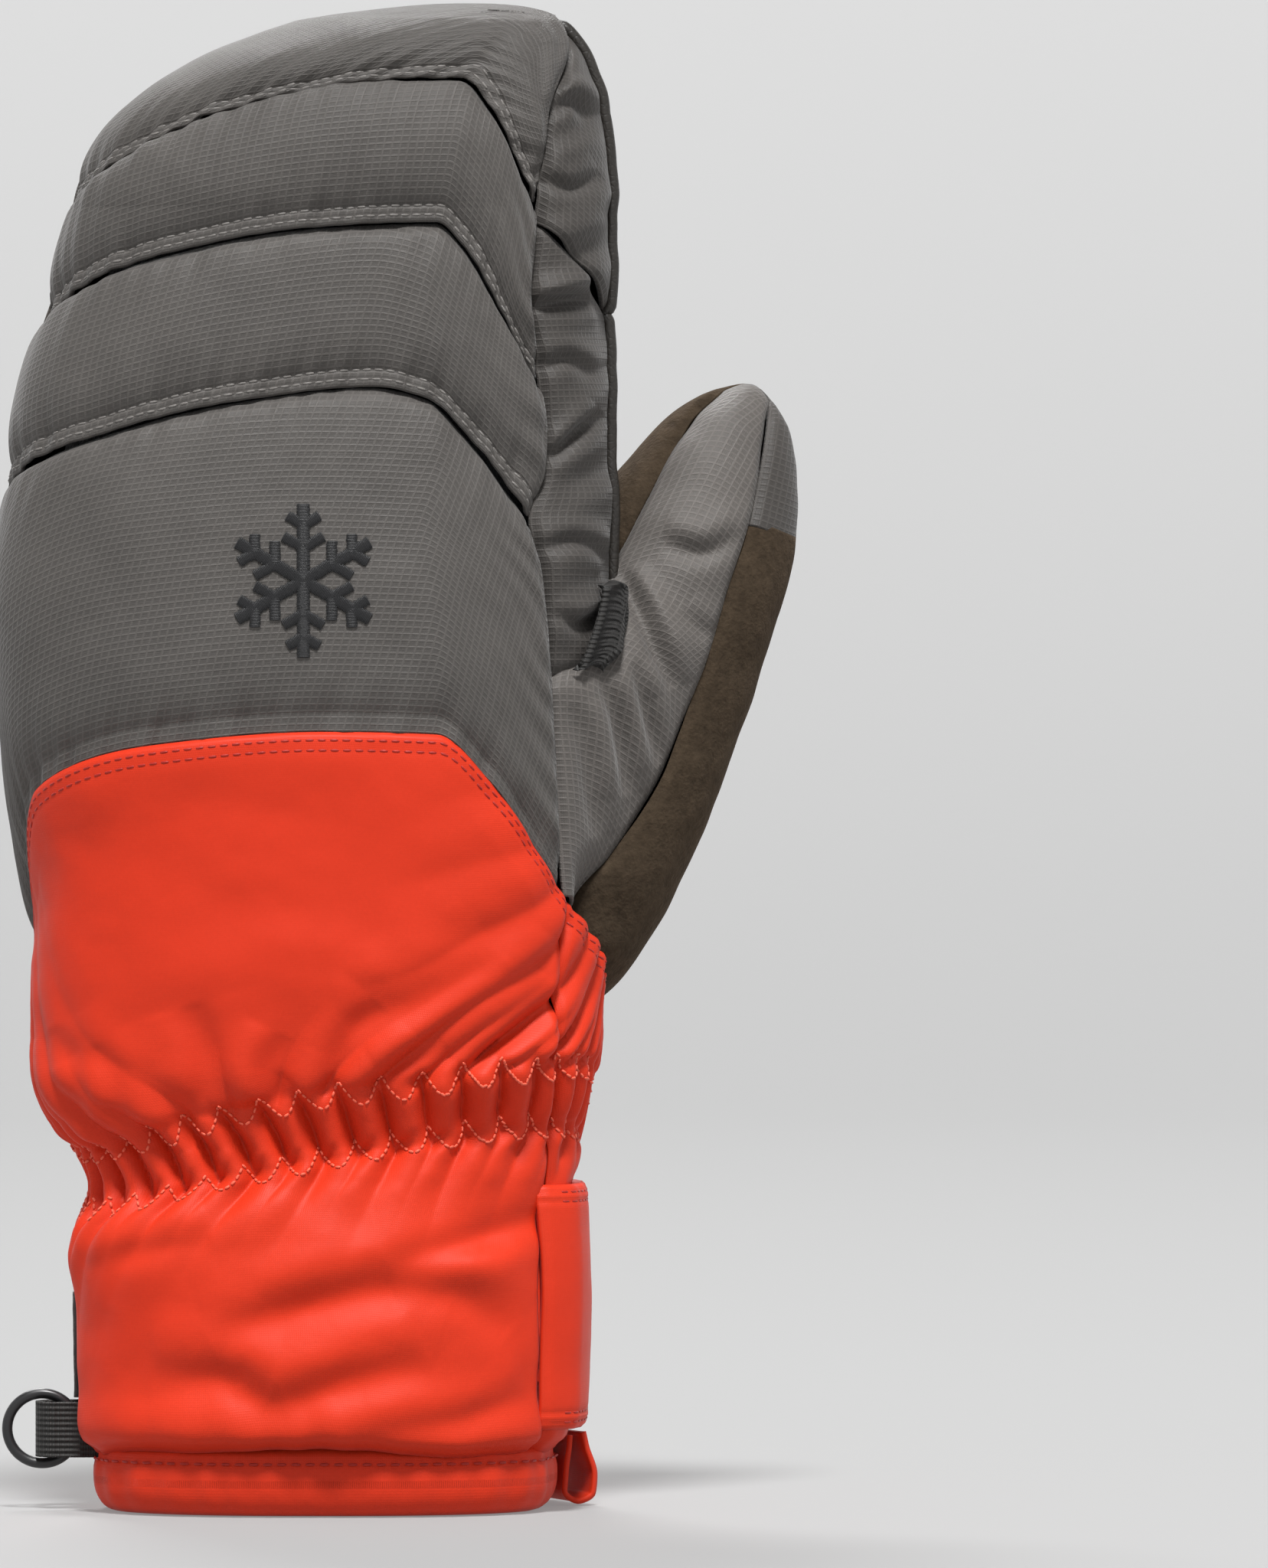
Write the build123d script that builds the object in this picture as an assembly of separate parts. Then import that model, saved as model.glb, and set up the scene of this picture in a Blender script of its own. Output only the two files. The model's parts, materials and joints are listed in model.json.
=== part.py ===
from build123d import *
from functools import lru_cache
import math
import os

# Left-hand ski mitten as separate sewn pieces: a red gauntlet cuff with a hook-and-loop wrist strap,
# a quilted ripstop back, a leather palm, a padded thumb, and the insulation and lining inside them.
#
# Frame, in millimetres: the origin is the centre of the hand opening, on the plane the cuff stands on.
# +X points to the thumb side, +Y to the palm side and +Z to the fingertips.

# ---- Driving dimensions -------------------------------------------------------------------------
HEIGHT = 300.0  # hem to fingertip
HEM_TOP = 13.0  # the rolled hem ends here, and the wider cuff panels begin
WRIST_LOW = 66.0  # the padding stops here, below the wrist
WRIST_HIGH = 78.0  # and starts again here
WRIST_AXIS_Z = 72.0
DOME_Z = 258.0  # above this the fingertips round over
PEAK_X = 28.0  # where the outline is highest
SECTION_POWER = 2.5  # 2 is an ellipse, more is boxier
SECTION_POINTS = 12

FAR = 130.0  # half size of blocks that only cut

SKIN = 1.2  # outer fabric or leather
PAD = 6.3  # hand insulation
MEMBRANE = 0.5
LINING = 1.5
CUFF_FOAM = 3.8
THUMB_PAD = 4.3
THUMB_WALL = SKIN + THUMB_PAD + LINING
HEM_WALL = 6.5
ELASTIC = 1.5
PATCH = 0.8  # leather laid over the palm
PIPING = 1.5  # half width of the piping, and how far it stands out
PIPING_HEIGHTS = (172.0, 262.0)

# Each row: height, then the reach to the little-finger side, thumb side, back and palm.
HEM_ROWS = (
    (0.0, 43.0, 45.0, 27.0, 26.5),
    (3.0, 44.3, 46.3, 28.6, 28.1),
    (8.0, 44.8, 46.6, 29.0, 28.5),
    (HEM_TOP, 43.8, 45.6, 28.0, 27.5),
)
CUFF_ROWS = (
    (HEM_TOP, 47.5, 46.5, 31.0, 30.0),
    (22.0, 49.2, 47.5, 33.0, 31.0),
    (42.0, 49.8, 48.0, 33.0, 31.0),
    (54.0, 50.2, 47.8, 31.2, 29.6),
    (WRIST_LOW, 46.8, 47.0, 27.5, 26.5),
)
WRIST_ROWS = (
    CUFF_ROWS[-1],
    (WRIST_AXIS_Z, 48.2, 47.5, 27.3, 26.3),
    (WRIST_HIGH, 52.5, 48.5, 29.0, 28.0),
)
HAND_ROWS = (
    WRIST_ROWS[-1],
    (88.0, 56.8, 51.5, 33.0, 31.2),
    (112.0, 57.7, 54.7, 35.7, 33.2),
    (150.0, 62.5, 55.5, 36.5, 34.0),
    (180.0, 65.5, 55.0, 36.0, 33.5),
    (215.0, 61.4, 54.0, 33.2, 31.2),
    (DOME_Z, 50.0, 54.2, 29.5, 28.0),
)
DOME_SHARES = (0.3, 0.55, 0.76, 0.90, 0.97, 0.992)
DOME_POWER_LITTLE = 1.75
DOME_POWER_THUMB = 2.8
DOME_POWER_DEPTH = 2.2

# Seams on the back of the hand, as X, Z from the little-finger side to the thumb side.
SEAM_LOW = (
    (-90, 190), (-62, 205), (-50, 211.4), (-18.7, 219.2),
    (9.4, 222.3), (20.3, 219.2), (40.6, 198.1), (62, 172),
)
SEAM_MID = (
    (-90, 222), (-57, 237.2), (-34.4, 248.1), (-3.1, 253.6),
    (21.9, 254.8), (28.1, 248.9), (41.4, 223.9), (58, 190),
)
SEAM_TOP = (
    (-90, 240), (-46.1, 263.7), (-18.7, 277.8), (9.4, 283.3),
    (28.1, 284), (35.9, 275.5), (41.7, 259.1), (46, 240),
)
SIDE_SEAM = (
    (50, 310), (48.5, 288), (44.5, 277), (41.3, 250),
    (41.3, 200), (43.8, 170), (45.6, 130), (47, 100),
)
CUFF_SEAM = (
    (-90, 100), (-63, 122), (-57.5, 143.7), (-34.4, 151.7), (0, 154.4),
    (21.9, 153.9), (32.8, 144.2), (47.2, 123.9), (70, 88),
)
GUSSET_SEAM = ((30, 236), (43, 234), (50, 226), (70, 190))
# Seams on the palm.
PALM_CUFF_SEAM = ((-90, 106), (-20, 106), (-2, 107), (8, 114), (40, 114), (70, 110))
PALM_EDGE = (
    (-80, 232), (-60, 243), (-45, 262), (-24, 282), (0, 289), (18, 283),
    (33, 268), (42, 250), (46, 205), (50, 150), (75, 110),
)
PATCH_OUTLINE = (
    (-24, 285), (-32.5, 263), (-1, 244.5), (22, 231), (30, 215), (33, 192), (38, 168),
    (42, 172), (44, 195), (41, 228), (37, 256), (28, 272), (10, 284.5), (-8, 288),
)

# Thumb: a rounded tube along a leaning axis. Rows: distance along the axis, half width, half depth.
THUMB_ROOT = Vector(44, 4, 118)
THUMB_LEAN = 21.0  # degrees from vertical, towards +X
THUMB_TO_PALM = 0.125  # how much the axis drifts to the palm for each millimetre of length
THUMB_ROWS = (
    (-24, 6, 6), (-19, 11, 10), (-12, 14.5, 13.5), (0, 18.5, 16.5),
    (20, 21, 17.5), (50, 22, 17.5), (72, 20.5, 16.5),
)
THUMB_DOME_S = 72.0
THUMB_END_S = 114.0
THUMB_DOME_SHARES = (0.2, 0.4, 0.58, 0.74, 0.87, 0.95, 0.985)
THUMB_DOME_POWER = 1.7
THUMB_JOINT_S = 77.0
THUMB_BEND_MAX = 22.0
THUMB_CLEARANCE = 0.5
BEND_SPARE = 1.0  # degrees of room past the bend's limit

# Wrist strap: it wraps the cuff from the thumb side to the little-finger side, over the palm.
STRAP_LOW, STRAP_HIGH = 16.5, 65.0
LOOP_LOW, LOOP_HIGH = 22.0, 43.0  # the loop patch's height on the cuff
STRAP_LIFT = 2.7  # between the cuff and the strap's inner face
STRAP_THICK = 1.6
STRAP_ROOT_ANGLES = (-25.0, 10.0)
STRAP_ANGLES = (11.2, 148.0)  # the gap after the root leaves room to swing
HOOK_ANGLES = (95.0, 146.0)
LOOP_ANGLES = (72.0, 180.0)
STRAP_MARGIN = 5.0  # from the strap's edges to its hook patch
FASTENER = 1.1  # thickness of each of the hook and loop patches

# Clip ring on its webbing tab, at the little-finger side of the hem.
RING_X, RING_Z = -57.2, 15.8
RING_RADIUS, RING_WIRE = 6.95, 1.05
WEBBING_THICK = 0.9
WEBBING_WIDTH = 11.0
TAB_BULGE = 3.9  # half depth of the space inside the webbing loop
TAB_TAPER = 0.4  # how much less it is near the fold
TAB_ROOT = 3.0  # how far the webbing reaches in past the cuff's outline
FOLD_GAP = 0.75  # from the ring's centre to the inside of the fold

# Pull loop: a folded tape that hangs from the cuff's lower edge, beside the hem.
PULL_ANGLE = 20.0
PULL_LENGTH = 21.0
PULL_ROUND = 3.0  # outside radius of its fold
PULL_TAPE = 1.2
PULL_TURN = 26.0  # degrees, so that it lies along the hem's side there
PULL_GAP = 0.4  # from the hem to the fold
PULL_FLOOR = 1.0  # from the floor to the fold
PULL_TOP_X, PULL_TOP_WIDTH = 0.6, 1.3
PULL_HOLE_DROP = 3.5  # from the tape's top to its hole

# Snowflake embroidered on the back of the hand.
FLAKE_X, FLAKE_Z = -4.0, 184.0
FLAKE_REACH = 15.0
FLAKE_THREAD = 0.6  # how far it stands out of the fabric
FLAKE_BAR = 2.0
FLAKE_BARBS = ((6.5, 4.0), (11.0, 3.2))  # distance out along each arm, and length

# Thumb panels, in the thumb's own frame: across its width from the centre line.
THUMB_OUTER_N, THUMB_INNER_N = 9.0, -14.0

OUT = "parts"


# ---- Sections and lofts ---------------------------------------------------------------------------
def superellipse(share, power):
    """Height of a superellipse of half width 1 at that share of its half width."""
    return max(0.0, 1 - share**power) ** (1 / power)


def round_points(little, thumb, back, palm):
    """Points of one closed section; the widest line lies on Y = 0."""
    points = []
    for k in range(SECTION_POINTS):
        angle = 2 * math.pi * k / SECTION_POINTS
        c, s = math.cos(angle), math.sin(angle)
        x = math.copysign(abs(c) ** (2 / SECTION_POWER), c)
        y = math.copysign(abs(s) ** (2 / SECTION_POWER), s)
        middle, half = (thumb - little) / 2, (thumb + little) / 2
        points.append((middle + half * x, y * (palm if s > 0 else back)))
    return points


def section(row, inset):
    z, little, thumb, back, palm = row
    points = round_points(little - inset, thumb - inset, back - inset, palm - inset)
    with BuildSketch(Plane.XY.offset(z)) as sketch:
        with BuildLine():
            Spline(*points, periodic=True)
        make_face()
    return sketch.sketch


def dome_rows(inset):
    """The rows above DOME_Z, for a layer that lies inset inside the outer surface."""
    _, little, thumb, back, palm = HAND_ROWS[-1]
    rows = []
    for q in DOME_SHARES:
        left = (little + PEAK_X - inset) * superellipse(q, DOME_POWER_LITTLE)
        right = (thumb - PEAK_X - inset) * superellipse(q, DOME_POWER_THUMB)
        depth = superellipse(q, DOME_POWER_DEPTH)
        z = DOME_Z + q * (HEIGHT - inset - DOME_Z)
        reach_back = (back - inset) * depth + inset
        reach_palm = (palm - inset) * depth + inset
        rows.append((z, left - PEAK_X + inset, PEAK_X + right + inset, reach_back, reach_palm))
    return rows


@lru_cache
def tube(rows, inset):
    return loft([section(row, inset) for row in rows])


@lru_cache
def hand_solid(inset):
    return loft([section(row, inset) for row in (*HAND_ROWS, *dome_rows(inset))])


def layer(rows, outer, inner):
    return tube(rows, outer) - tube(rows, inner)


def hand_layer(outer, inner):
    return hand_solid(outer) - hand_solid(inner)


# ---- Cutting tools --------------------------------------------------------------------------------
def flat(points, closing):
    """A face in the XZ plane with a smooth edge through points, closed by the corner points given."""
    with BuildSketch(Plane.XZ) as sketch:
        with BuildLine():
            Spline(*points)
            Polyline(points[-1], *closing, points[0])
        make_face()
    return sketch.sketch


def to_back(face):
    return extrude(face, amount=FAR)


def to_palm(face):
    return extrude(face, amount=-FAR)


def below(seam, floor=40):
    return flat(seam, ((seam[-1][0], floor), (seam[0][0], floor)))


def largest(shape):
    """The largest solid of a cut, without the crumbs that a seam can leave."""
    return max(shape.solids(), key=lambda solid: solid.volume)


def wedge(start, end, low=-5, high=HEIGHT):
    """A slice of pie about Z, from one angle to another, in degrees from +X towards +Y."""
    steps = max(2, math.ceil((end - start) / 45))
    rim = []
    for k in range(steps + 1):
        a = math.radians(start + (end - start) * k / steps)
        rim.append((FAR * math.cos(a), FAR * math.sin(a)))
    with BuildSketch(Plane.XY.offset(low)) as sketch:
        with BuildLine():
            Polyline((0, 0), *rim, (0, 0))
        make_face()
    return extrude(sketch.sketch, amount=high - low)


def slab(low, high):
    return Pos(0, 0, (low + high) / 2) * Box(2 * FAR, 2 * FAR, high - low)


def back_side():
    """Everything on the back's side of the widest line."""
    return Pos(0, -FAR / 2, HEIGHT / 2) * Box(2 * FAR, FAR, 2 * HEIGHT)


# ---- Thumb ----------------------------------------------------------------------------------------
LEAN = math.radians(THUMB_LEAN)
THUMB_ALONG = Vector(math.sin(LEAN), 0, math.cos(LEAN))
THUMB_ACROSS = Vector(math.cos(LEAN), 0, -math.sin(LEAN))


def thumb_plane(s):
    origin = THUMB_ROOT + THUMB_ALONG * s + Vector(0, THUMB_TO_PALM * max(s, 0), 0)
    return Plane(origin=origin, x_dir=THUMB_ACROSS, z_dir=THUMB_ALONG)


def thumb_rows(inset):
    """The outer surface starts at a small buried end; an inner one starts flat, at the third row."""
    rows = list(THUMB_ROWS)
    if inset:
        rows = [(s, width - inset, depth - inset) for s, width, depth in THUMB_ROWS[2:]]
        rows[0] = (rows[0][0] + inset, *rows[0][1:])
    _, width, depth = THUMB_ROWS[-1]
    for q in THUMB_DOME_SHARES:
        fall = superellipse(q, THUMB_DOME_POWER)
        s = THUMB_DOME_S + q * (THUMB_END_S - inset - THUMB_DOME_S)
        rows.append((s, (width - inset) * fall, (depth - inset) * fall))
    return rows


@lru_cache
def thumb_solid(inset):
    faces = []
    for s, width, depth in thumb_rows(inset):
        with BuildSketch(thumb_plane(s)) as sketch:
            Ellipse(width, depth)
        faces.append(sketch.sketch)
    return loft(faces)


def thumb_region(n_low=-FAR, n_high=FAR, y_low=-FAR, y_high=FAR):
    """A long block in the thumb's own frame, between limits across its width and through its depth."""
    axis = THUMB_ALONG + Vector(0, THUMB_TO_PALM, 0)
    frame = Plane(origin=THUMB_ROOT, x_dir=THUMB_ACROSS, z_dir=axis)
    place = Pos((n_low + n_high) / 2, (y_low + y_high) / 2, THUMB_END_S / 2)
    return frame * place * Box(n_high - n_low, y_high - y_low, 2 * FAR)


def thumb_tip_space():
    """Everything beyond the bend: past a flat cut, and past a cut that leaves room to bend."""
    pivot = thumb_plane(THUMB_JOINT_S)
    beyond = Pos(0, 0, THUMB_CLEARANCE + FAR / 2) * Box(2 * FAR, 2 * FAR, FAR)
    return (pivot * beyond) & (pivot * Rot(X=THUMB_BEND_MAX + BEND_SPARE) * beyond)


# ---- Strap ----------------------------------------------------------------------------------------
def around_cuff(lift_low, lift_high, angles, low, high):
    """A curved band that lies lift_low to lift_high outside the cuff between two angles and two heights."""
    return layer(CUFF_ROWS, -lift_high, -lift_low) & wedge(*angles) & slab(low, high)


def outline_point(row, angle, lift):
    """Where a ray at that angle leaves a section, grown by lift."""
    _, little, thumb, back, palm = row
    little, thumb, back, palm = (v + lift for v in (little, thumb, back, palm))
    a = math.radians(angle)
    middle, half = (thumb - little) / 2, (thumb + little) / 2
    low, high = 0.0, 120.0
    for _ in range(50):
        r = (low + high) / 2
        x, y = r * math.cos(a) - middle, r * math.sin(a)
        depth = palm if y > 0 else back
        inside = abs(x / half) ** SECTION_POWER + abs(y / depth) ** SECTION_POWER < 1
        low, high = (r, high) if inside else (low, r)
    return low * math.cos(a), low * math.sin(a)


# ---- Pieces ---------------------------------------------------------------------------------------
def cuff_pieces():
    skin = layer(CUFF_ROWS, 0, SKIN)
    back_half = back_side()
    return {
        "hem_band": layer(HEM_ROWS, 0, HEM_WALL),
        "cuff_back_panel": largest(skin & back_half),
        "cuff_palm_panel": largest(skin - back_half),
        "cuff_foam": layer(CUFF_ROWS, SKIN, SKIN + CUFF_FOAM),
        "cuff_lining": layer(CUFF_ROWS, SKIN + CUFF_FOAM, SKIN + CUFF_FOAM + LINING),
        "wrist_gathers": layer(WRIST_ROWS, 0, SKIN),
        "wrist_elastic": layer(WRIST_ROWS, SKIN, SKIN + ELASTIC),
    }


def strap_pieces():
    band = (STRAP_LIFT, STRAP_LIFT + STRAP_THICK)
    height = (STRAP_LOW, STRAP_HIGH)
    hook_height = (STRAP_LOW + STRAP_MARGIN, STRAP_HIGH - STRAP_MARGIN)
    return {
        "strap_root": largest(around_cuff(0.0, band[1], STRAP_ROOT_ANGLES, *height)),
        "wrist_strap": largest(around_cuff(*band, STRAP_ANGLES, *height)),
        "hook_patch": largest(around_cuff(STRAP_LIFT - FASTENER, STRAP_LIFT, HOOK_ANGLES, *hook_height)),
        "loop_patch": largest(around_cuff(0.0, FASTENER, LOOP_ANGLES, LOOP_LOW, LOOP_HIGH)),
    }


def loop_face(half_depth, fold_x, root_x):
    """One flattened loop seen from above, closed across its root."""
    with BuildSketch(Plane.XY.offset(RING_Z - WEBBING_WIDTH / 2)) as sketch:
        with BuildLine():
            shoulder = fold_x + half_depth
            half = half_depth - TAB_TAPER
            behind = ((root_x, -half_depth), (shoulder, -half))
            ahead = ((shoulder, half), (root_x, half_depth))
            side = Spline(*behind, (fold_x, 0), *ahead)
            Line(side @ 1, side @ 0)
        make_face()
    return sketch.sketch


def ring_pieces():
    ring = Pos(RING_X, 0, RING_Z) * Rot(X=90) * Torus(RING_RADIUS, RING_WIRE)
    fold_x = RING_X - FOLD_GAP
    root_x = TAB_ROOT - CUFF_ROWS[0][1]
    outline = loop_face(TAB_BULGE + WEBBING_THICK, fold_x - WEBBING_THICK, root_x)
    outside = extrude(outline, amount=WEBBING_WIDTH)
    inside = extrude(loop_face(TAB_BULGE, fold_x, root_x + 1), amount=WEBBING_WIDTH)
    webbing = outside - inside - tube(CUFF_ROWS, 0) - tube(HEM_ROWS, 0)
    return {"clip_ring": ring, "ring_webbing": largest(webbing)}


def hem_point(angle):
    """Where a ray at that angle leaves the hem's widest section."""
    return outline_point(HEM_ROWS[2], angle, 0.0)


def teardrop(radius, corner, top_width):
    """A round-bottomed section with a straight side up to a corner, pushed along the hem's side."""
    x, z = PULL_ROUND + PULL_GAP, PULL_ROUND + PULL_FLOOR
    with BuildSketch(Plane.XZ) as sketch:
        with Locations((x, z)):
            Circle(radius)
        with BuildLine():
            top = ((corner[0] + top_width, corner[1]), corner)
            Polyline((x - radius, z), (x + radius, z), *top, (x - radius, z))
        make_face()
    return extrude(sketch.sketch, amount=PULL_LENGTH / 2, both=True)


def pull_loop_piece():
    inner_top = (PULL_TOP_X + PULL_TOP_WIDTH, HEM_TOP - PULL_HOLE_DROP)
    loop = teardrop(PULL_ROUND, (PULL_TOP_X, HEM_TOP), PULL_TOP_WIDTH)
    loop -= teardrop(PULL_ROUND - PULL_TAPE, inner_top, PULL_TOP_WIDTH)
    x, y = hem_point(PULL_ANGLE)
    placed = Pos(x, y, 0) * Rot(Z=PULL_TURN) * loop
    return {"pull_loop": largest(placed - tube(HEM_ROWS, 0))}


def snowflake():
    """A six-armed star with two pairs of barbs on each arm."""
    faces = []
    for k in range(6):
        arm = Rot(Z=60 * k + 30)
        faces.append(arm * Pos(FLAKE_REACH / 2, 0) * Rectangle(FLAKE_REACH, FLAKE_BAR))
        for out, length in FLAKE_BARBS:
            for side in (-60, 60):
                barb = Pos(length / 2, 0) * Rectangle(length, FLAKE_BAR)
                faces.append(arm * Pos(out, 0) * Rot(Z=side) * barb)
    star = faces[0].fuse(*faces[1:])
    return Plane.XZ * Pos(FLAKE_X, FLAKE_Z) * star


def hand_skin_pieces():
    skin = hand_layer(0, SKIN) - thumb_solid(THUMB_WALL)
    back_half = back_side()
    back, palm = skin & back_half, skin - back_half
    cuff = to_back(below(CUFF_SEAM))
    low, mid, top = (to_back(below(seam)) for seam in (SEAM_LOW, SEAM_MID, SEAM_TOP))
    side = to_back(flat(SIDE_SEAM, ((90, 100), (90, 310))))
    gusset = to_back(below(GUSSET_SEAM))
    quilt = back - cuff - side
    side_panel = (back & side) - cuff
    inside_edge = to_palm(below(PALM_EDGE))
    palm_cuff = to_palm(below(PALM_CUFF_SEAM))
    patch = to_palm(patch_face())
    low_end, high_end = PIPING_HEIGHTS
    strip = Box(FAR, 2 * PIPING, high_end - low_end)
    piping_strip = Pos(PEAK_X + FAR / 2, 0, (low_end + high_end) / 2) * strip
    return {
        "gauntlet_back": largest(back & cuff),
        "back_of_hand_panel": largest(quilt & low),
        "lower_finger_panel": largest((quilt & mid) - low),
        "upper_finger_panel": largest((quilt & top) - mid),
        "fingertip_panel": largest(quilt - top),
        "side_gusset_lower": largest(side_panel & gusset),
        "side_gusset_upper": largest(side_panel - gusset),
        "gauntlet_palm": largest(palm & palm_cuff),
        "palm_leather": largest((palm & inside_edge) - palm_cuff),
        "palm_border": largest(palm - inside_edge - palm_cuff),
        "fingertip_patch": largest(hand_layer(-PATCH, 0) & patch),
        "side_piping": largest((hand_layer(-PIPING, 0) & piping_strip) - thumb_solid(0)),
        "snowflake": Compound((hand_layer(-FLAKE_THREAD, 0) & to_back(snowflake())).solids()),
    }


def patch_face():
    with BuildSketch(Plane.XZ) as sketch:
        with BuildLine():
            Spline(*PATCH_OUTLINE, periodic=True)
        make_face()
    return sketch.sketch


def hand_inner_pieces():
    pad = SKIN + PAD
    way = thumb_solid(THUMB_WALL)
    return {
        "hand_insulation": largest(hand_layer(SKIN, pad) - way),
        "hand_membrane": largest(hand_layer(pad, pad + MEMBRANE) - way),
        "hand_lining": largest(hand_layer(pad + MEMBRANE, pad + MEMBRANE + LINING) - way),
    }


def thumb_pieces():
    hand = hand_solid(0)
    tip_space = thumb_tip_space()
    base_space = thumb_plane(THUMB_JOINT_S) * Pos(0, 0, -FAR) * Box(2 * FAR, 2 * FAR, 2 * FAR)
    skin = thumb_solid(0) - thumb_solid(SKIN) - hand
    pad = thumb_solid(SKIN) - thumb_solid(SKIN + THUMB_PAD) - hand
    lining = thumb_solid(SKIN + THUMB_PAD) - thumb_solid(THUMB_WALL) - hand
    middle = (THUMB_INNER_N, THUMB_OUTER_N)
    layers = {
        "thumb_back": skin & thumb_region(*middle, y_high=0),
        "thumb_palm": skin & thumb_region(*middle, y_low=0),
        "thumb_outer_edge": skin & thumb_region(n_low=THUMB_OUTER_N),
        "thumb_inner_edge": skin & thumb_region(n_high=THUMB_INNER_N),
        "thumb_insulation": pad,
        "thumb_lining": lining,
    }
    pieces = {}
    for name, shape in layers.items():
        pieces[f"{name}_base"] = largest(shape & base_space)
        pieces[f"{name}_tip"] = largest(shape & tip_space)
    return pieces


def main():
    os.makedirs(OUT, exist_ok=True)
    cuff_groups = (cuff_pieces, strap_pieces, ring_pieces, pull_loop_piece)
    hand_groups = (hand_skin_pieces, hand_inner_pieces, thumb_pieces)
    for group in cuff_groups + hand_groups:
        for name, shape in group().items():
            export_step(shape, f"{OUT}/{name}.step")
            print(name, round(shape.volume), len(shape.solids()), shape.is_valid)


main()
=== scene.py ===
import json
import math

import bpy
import numpy as np
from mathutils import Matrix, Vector


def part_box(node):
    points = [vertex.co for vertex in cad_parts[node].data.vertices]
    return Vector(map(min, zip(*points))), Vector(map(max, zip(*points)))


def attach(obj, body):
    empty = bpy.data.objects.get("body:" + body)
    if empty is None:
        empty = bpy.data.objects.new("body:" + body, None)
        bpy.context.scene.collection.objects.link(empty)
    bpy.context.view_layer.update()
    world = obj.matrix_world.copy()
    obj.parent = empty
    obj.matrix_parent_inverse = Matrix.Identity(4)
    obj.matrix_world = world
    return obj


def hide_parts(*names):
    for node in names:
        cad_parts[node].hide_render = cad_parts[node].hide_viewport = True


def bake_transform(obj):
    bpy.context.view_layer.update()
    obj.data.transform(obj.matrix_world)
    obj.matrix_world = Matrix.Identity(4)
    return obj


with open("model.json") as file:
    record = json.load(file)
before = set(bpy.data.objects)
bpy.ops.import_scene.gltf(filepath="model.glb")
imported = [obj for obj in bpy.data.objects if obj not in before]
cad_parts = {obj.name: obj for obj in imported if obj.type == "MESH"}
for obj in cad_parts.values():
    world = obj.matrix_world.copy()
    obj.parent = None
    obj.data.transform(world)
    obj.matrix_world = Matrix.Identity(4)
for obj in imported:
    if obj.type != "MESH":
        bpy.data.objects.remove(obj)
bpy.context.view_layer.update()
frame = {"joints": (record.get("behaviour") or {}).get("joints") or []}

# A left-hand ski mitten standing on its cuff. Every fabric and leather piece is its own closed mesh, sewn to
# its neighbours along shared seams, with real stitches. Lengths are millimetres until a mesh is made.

MM = 0.001
TAU = 2 * math.pi
RANDOM = np.random.default_rng(7)
TINY = 1e-9
CLOTH = 0.9  # thickness of a fabric piece
WIDE_ROWS, NARROW_ROWS = (1.6, 3.6), (1.5, 3.4)  # double rows of stitches, from the edge
SHELL_STITCH = dict(pitch=2.4, length=1.7, radius=0.26)
UNDER_TOP = 0.0005  # how far below the very top a closed dome stops


def lows(node):
    return np.array(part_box(node)[0]) / MM


def highs(node):
    return np.array(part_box(node)[1]) / MM


# ---- Where the frame puts things ------------------------------------------------------------------
TOP = highs("fingertip_panel")[2]
HEM_TOP = highs("hem_band")[2]
WRIST_LOW, WRIST_HIGH = lows("wrist_gathers")[2], highs("wrist_gathers")[2]
STRAP_LOW, STRAP_HIGH = lows("wrist_strap")[2], highs("wrist_strap")[2]
RING_CENTRE = (lows("clip_ring") + highs("clip_ring")) / 2
JOINTS = {j["name"]: j for j in frame["joints"]}
THUMB_PIVOT = np.array(JOINTS["thumb_bend"]["pos_m"]) / MM
STRAP_PIVOT = np.array(JOINTS["strap_peel"]["pos_m"]) / MM

THUMB_LEAN = math.radians(21.0)
ALONG = np.array([math.sin(THUMB_LEAN), 0, math.cos(THUMB_LEAN)])  # along the thumb
ACROSS = np.array([math.cos(THUMB_LEAN), 0, -math.sin(THUMB_LEAN)])  # towards its outer edge
FORWARD = np.array([0.0, 1.0, 0.0])  # from the back of the hand to the palm

# ---- The mitten's surface -------------------------------------------------------------------------
# Height, then the reach to the little-finger side, thumb side, back and palm.
ROWS = np.array([
    (13, 47.5, 46.5, 31, 30), (22, 49.2, 47.5, 33, 31), (42, 49.8, 48, 33, 31),
    (54, 50.2, 47.8, 31.2, 29.6), (66, 46.8, 47, 27.5, 26.5), (72, 48.2, 47.5, 27.3, 26.3),
    (78, 52.5, 48.5, 29, 28), (88, 56.8, 51.5, 33, 31.2), (112, 57.7, 54.7, 35.7, 33.2),
    (150, 62.5, 55.5, 36.5, 34), (180, 65.5, 55, 36, 33.5), (215, 61.4, 54, 33.2, 31.2),
    (258, 50, 54.2, 29.5, 28)])
DOME_Z, PEAK_X = 258.0, 28.0
BOXY = 2.5  # superellipse power of a section
DOME_POWERS = (1.75, 2.8, 2.2)  # little-finger side, thumb side, depth

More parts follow.
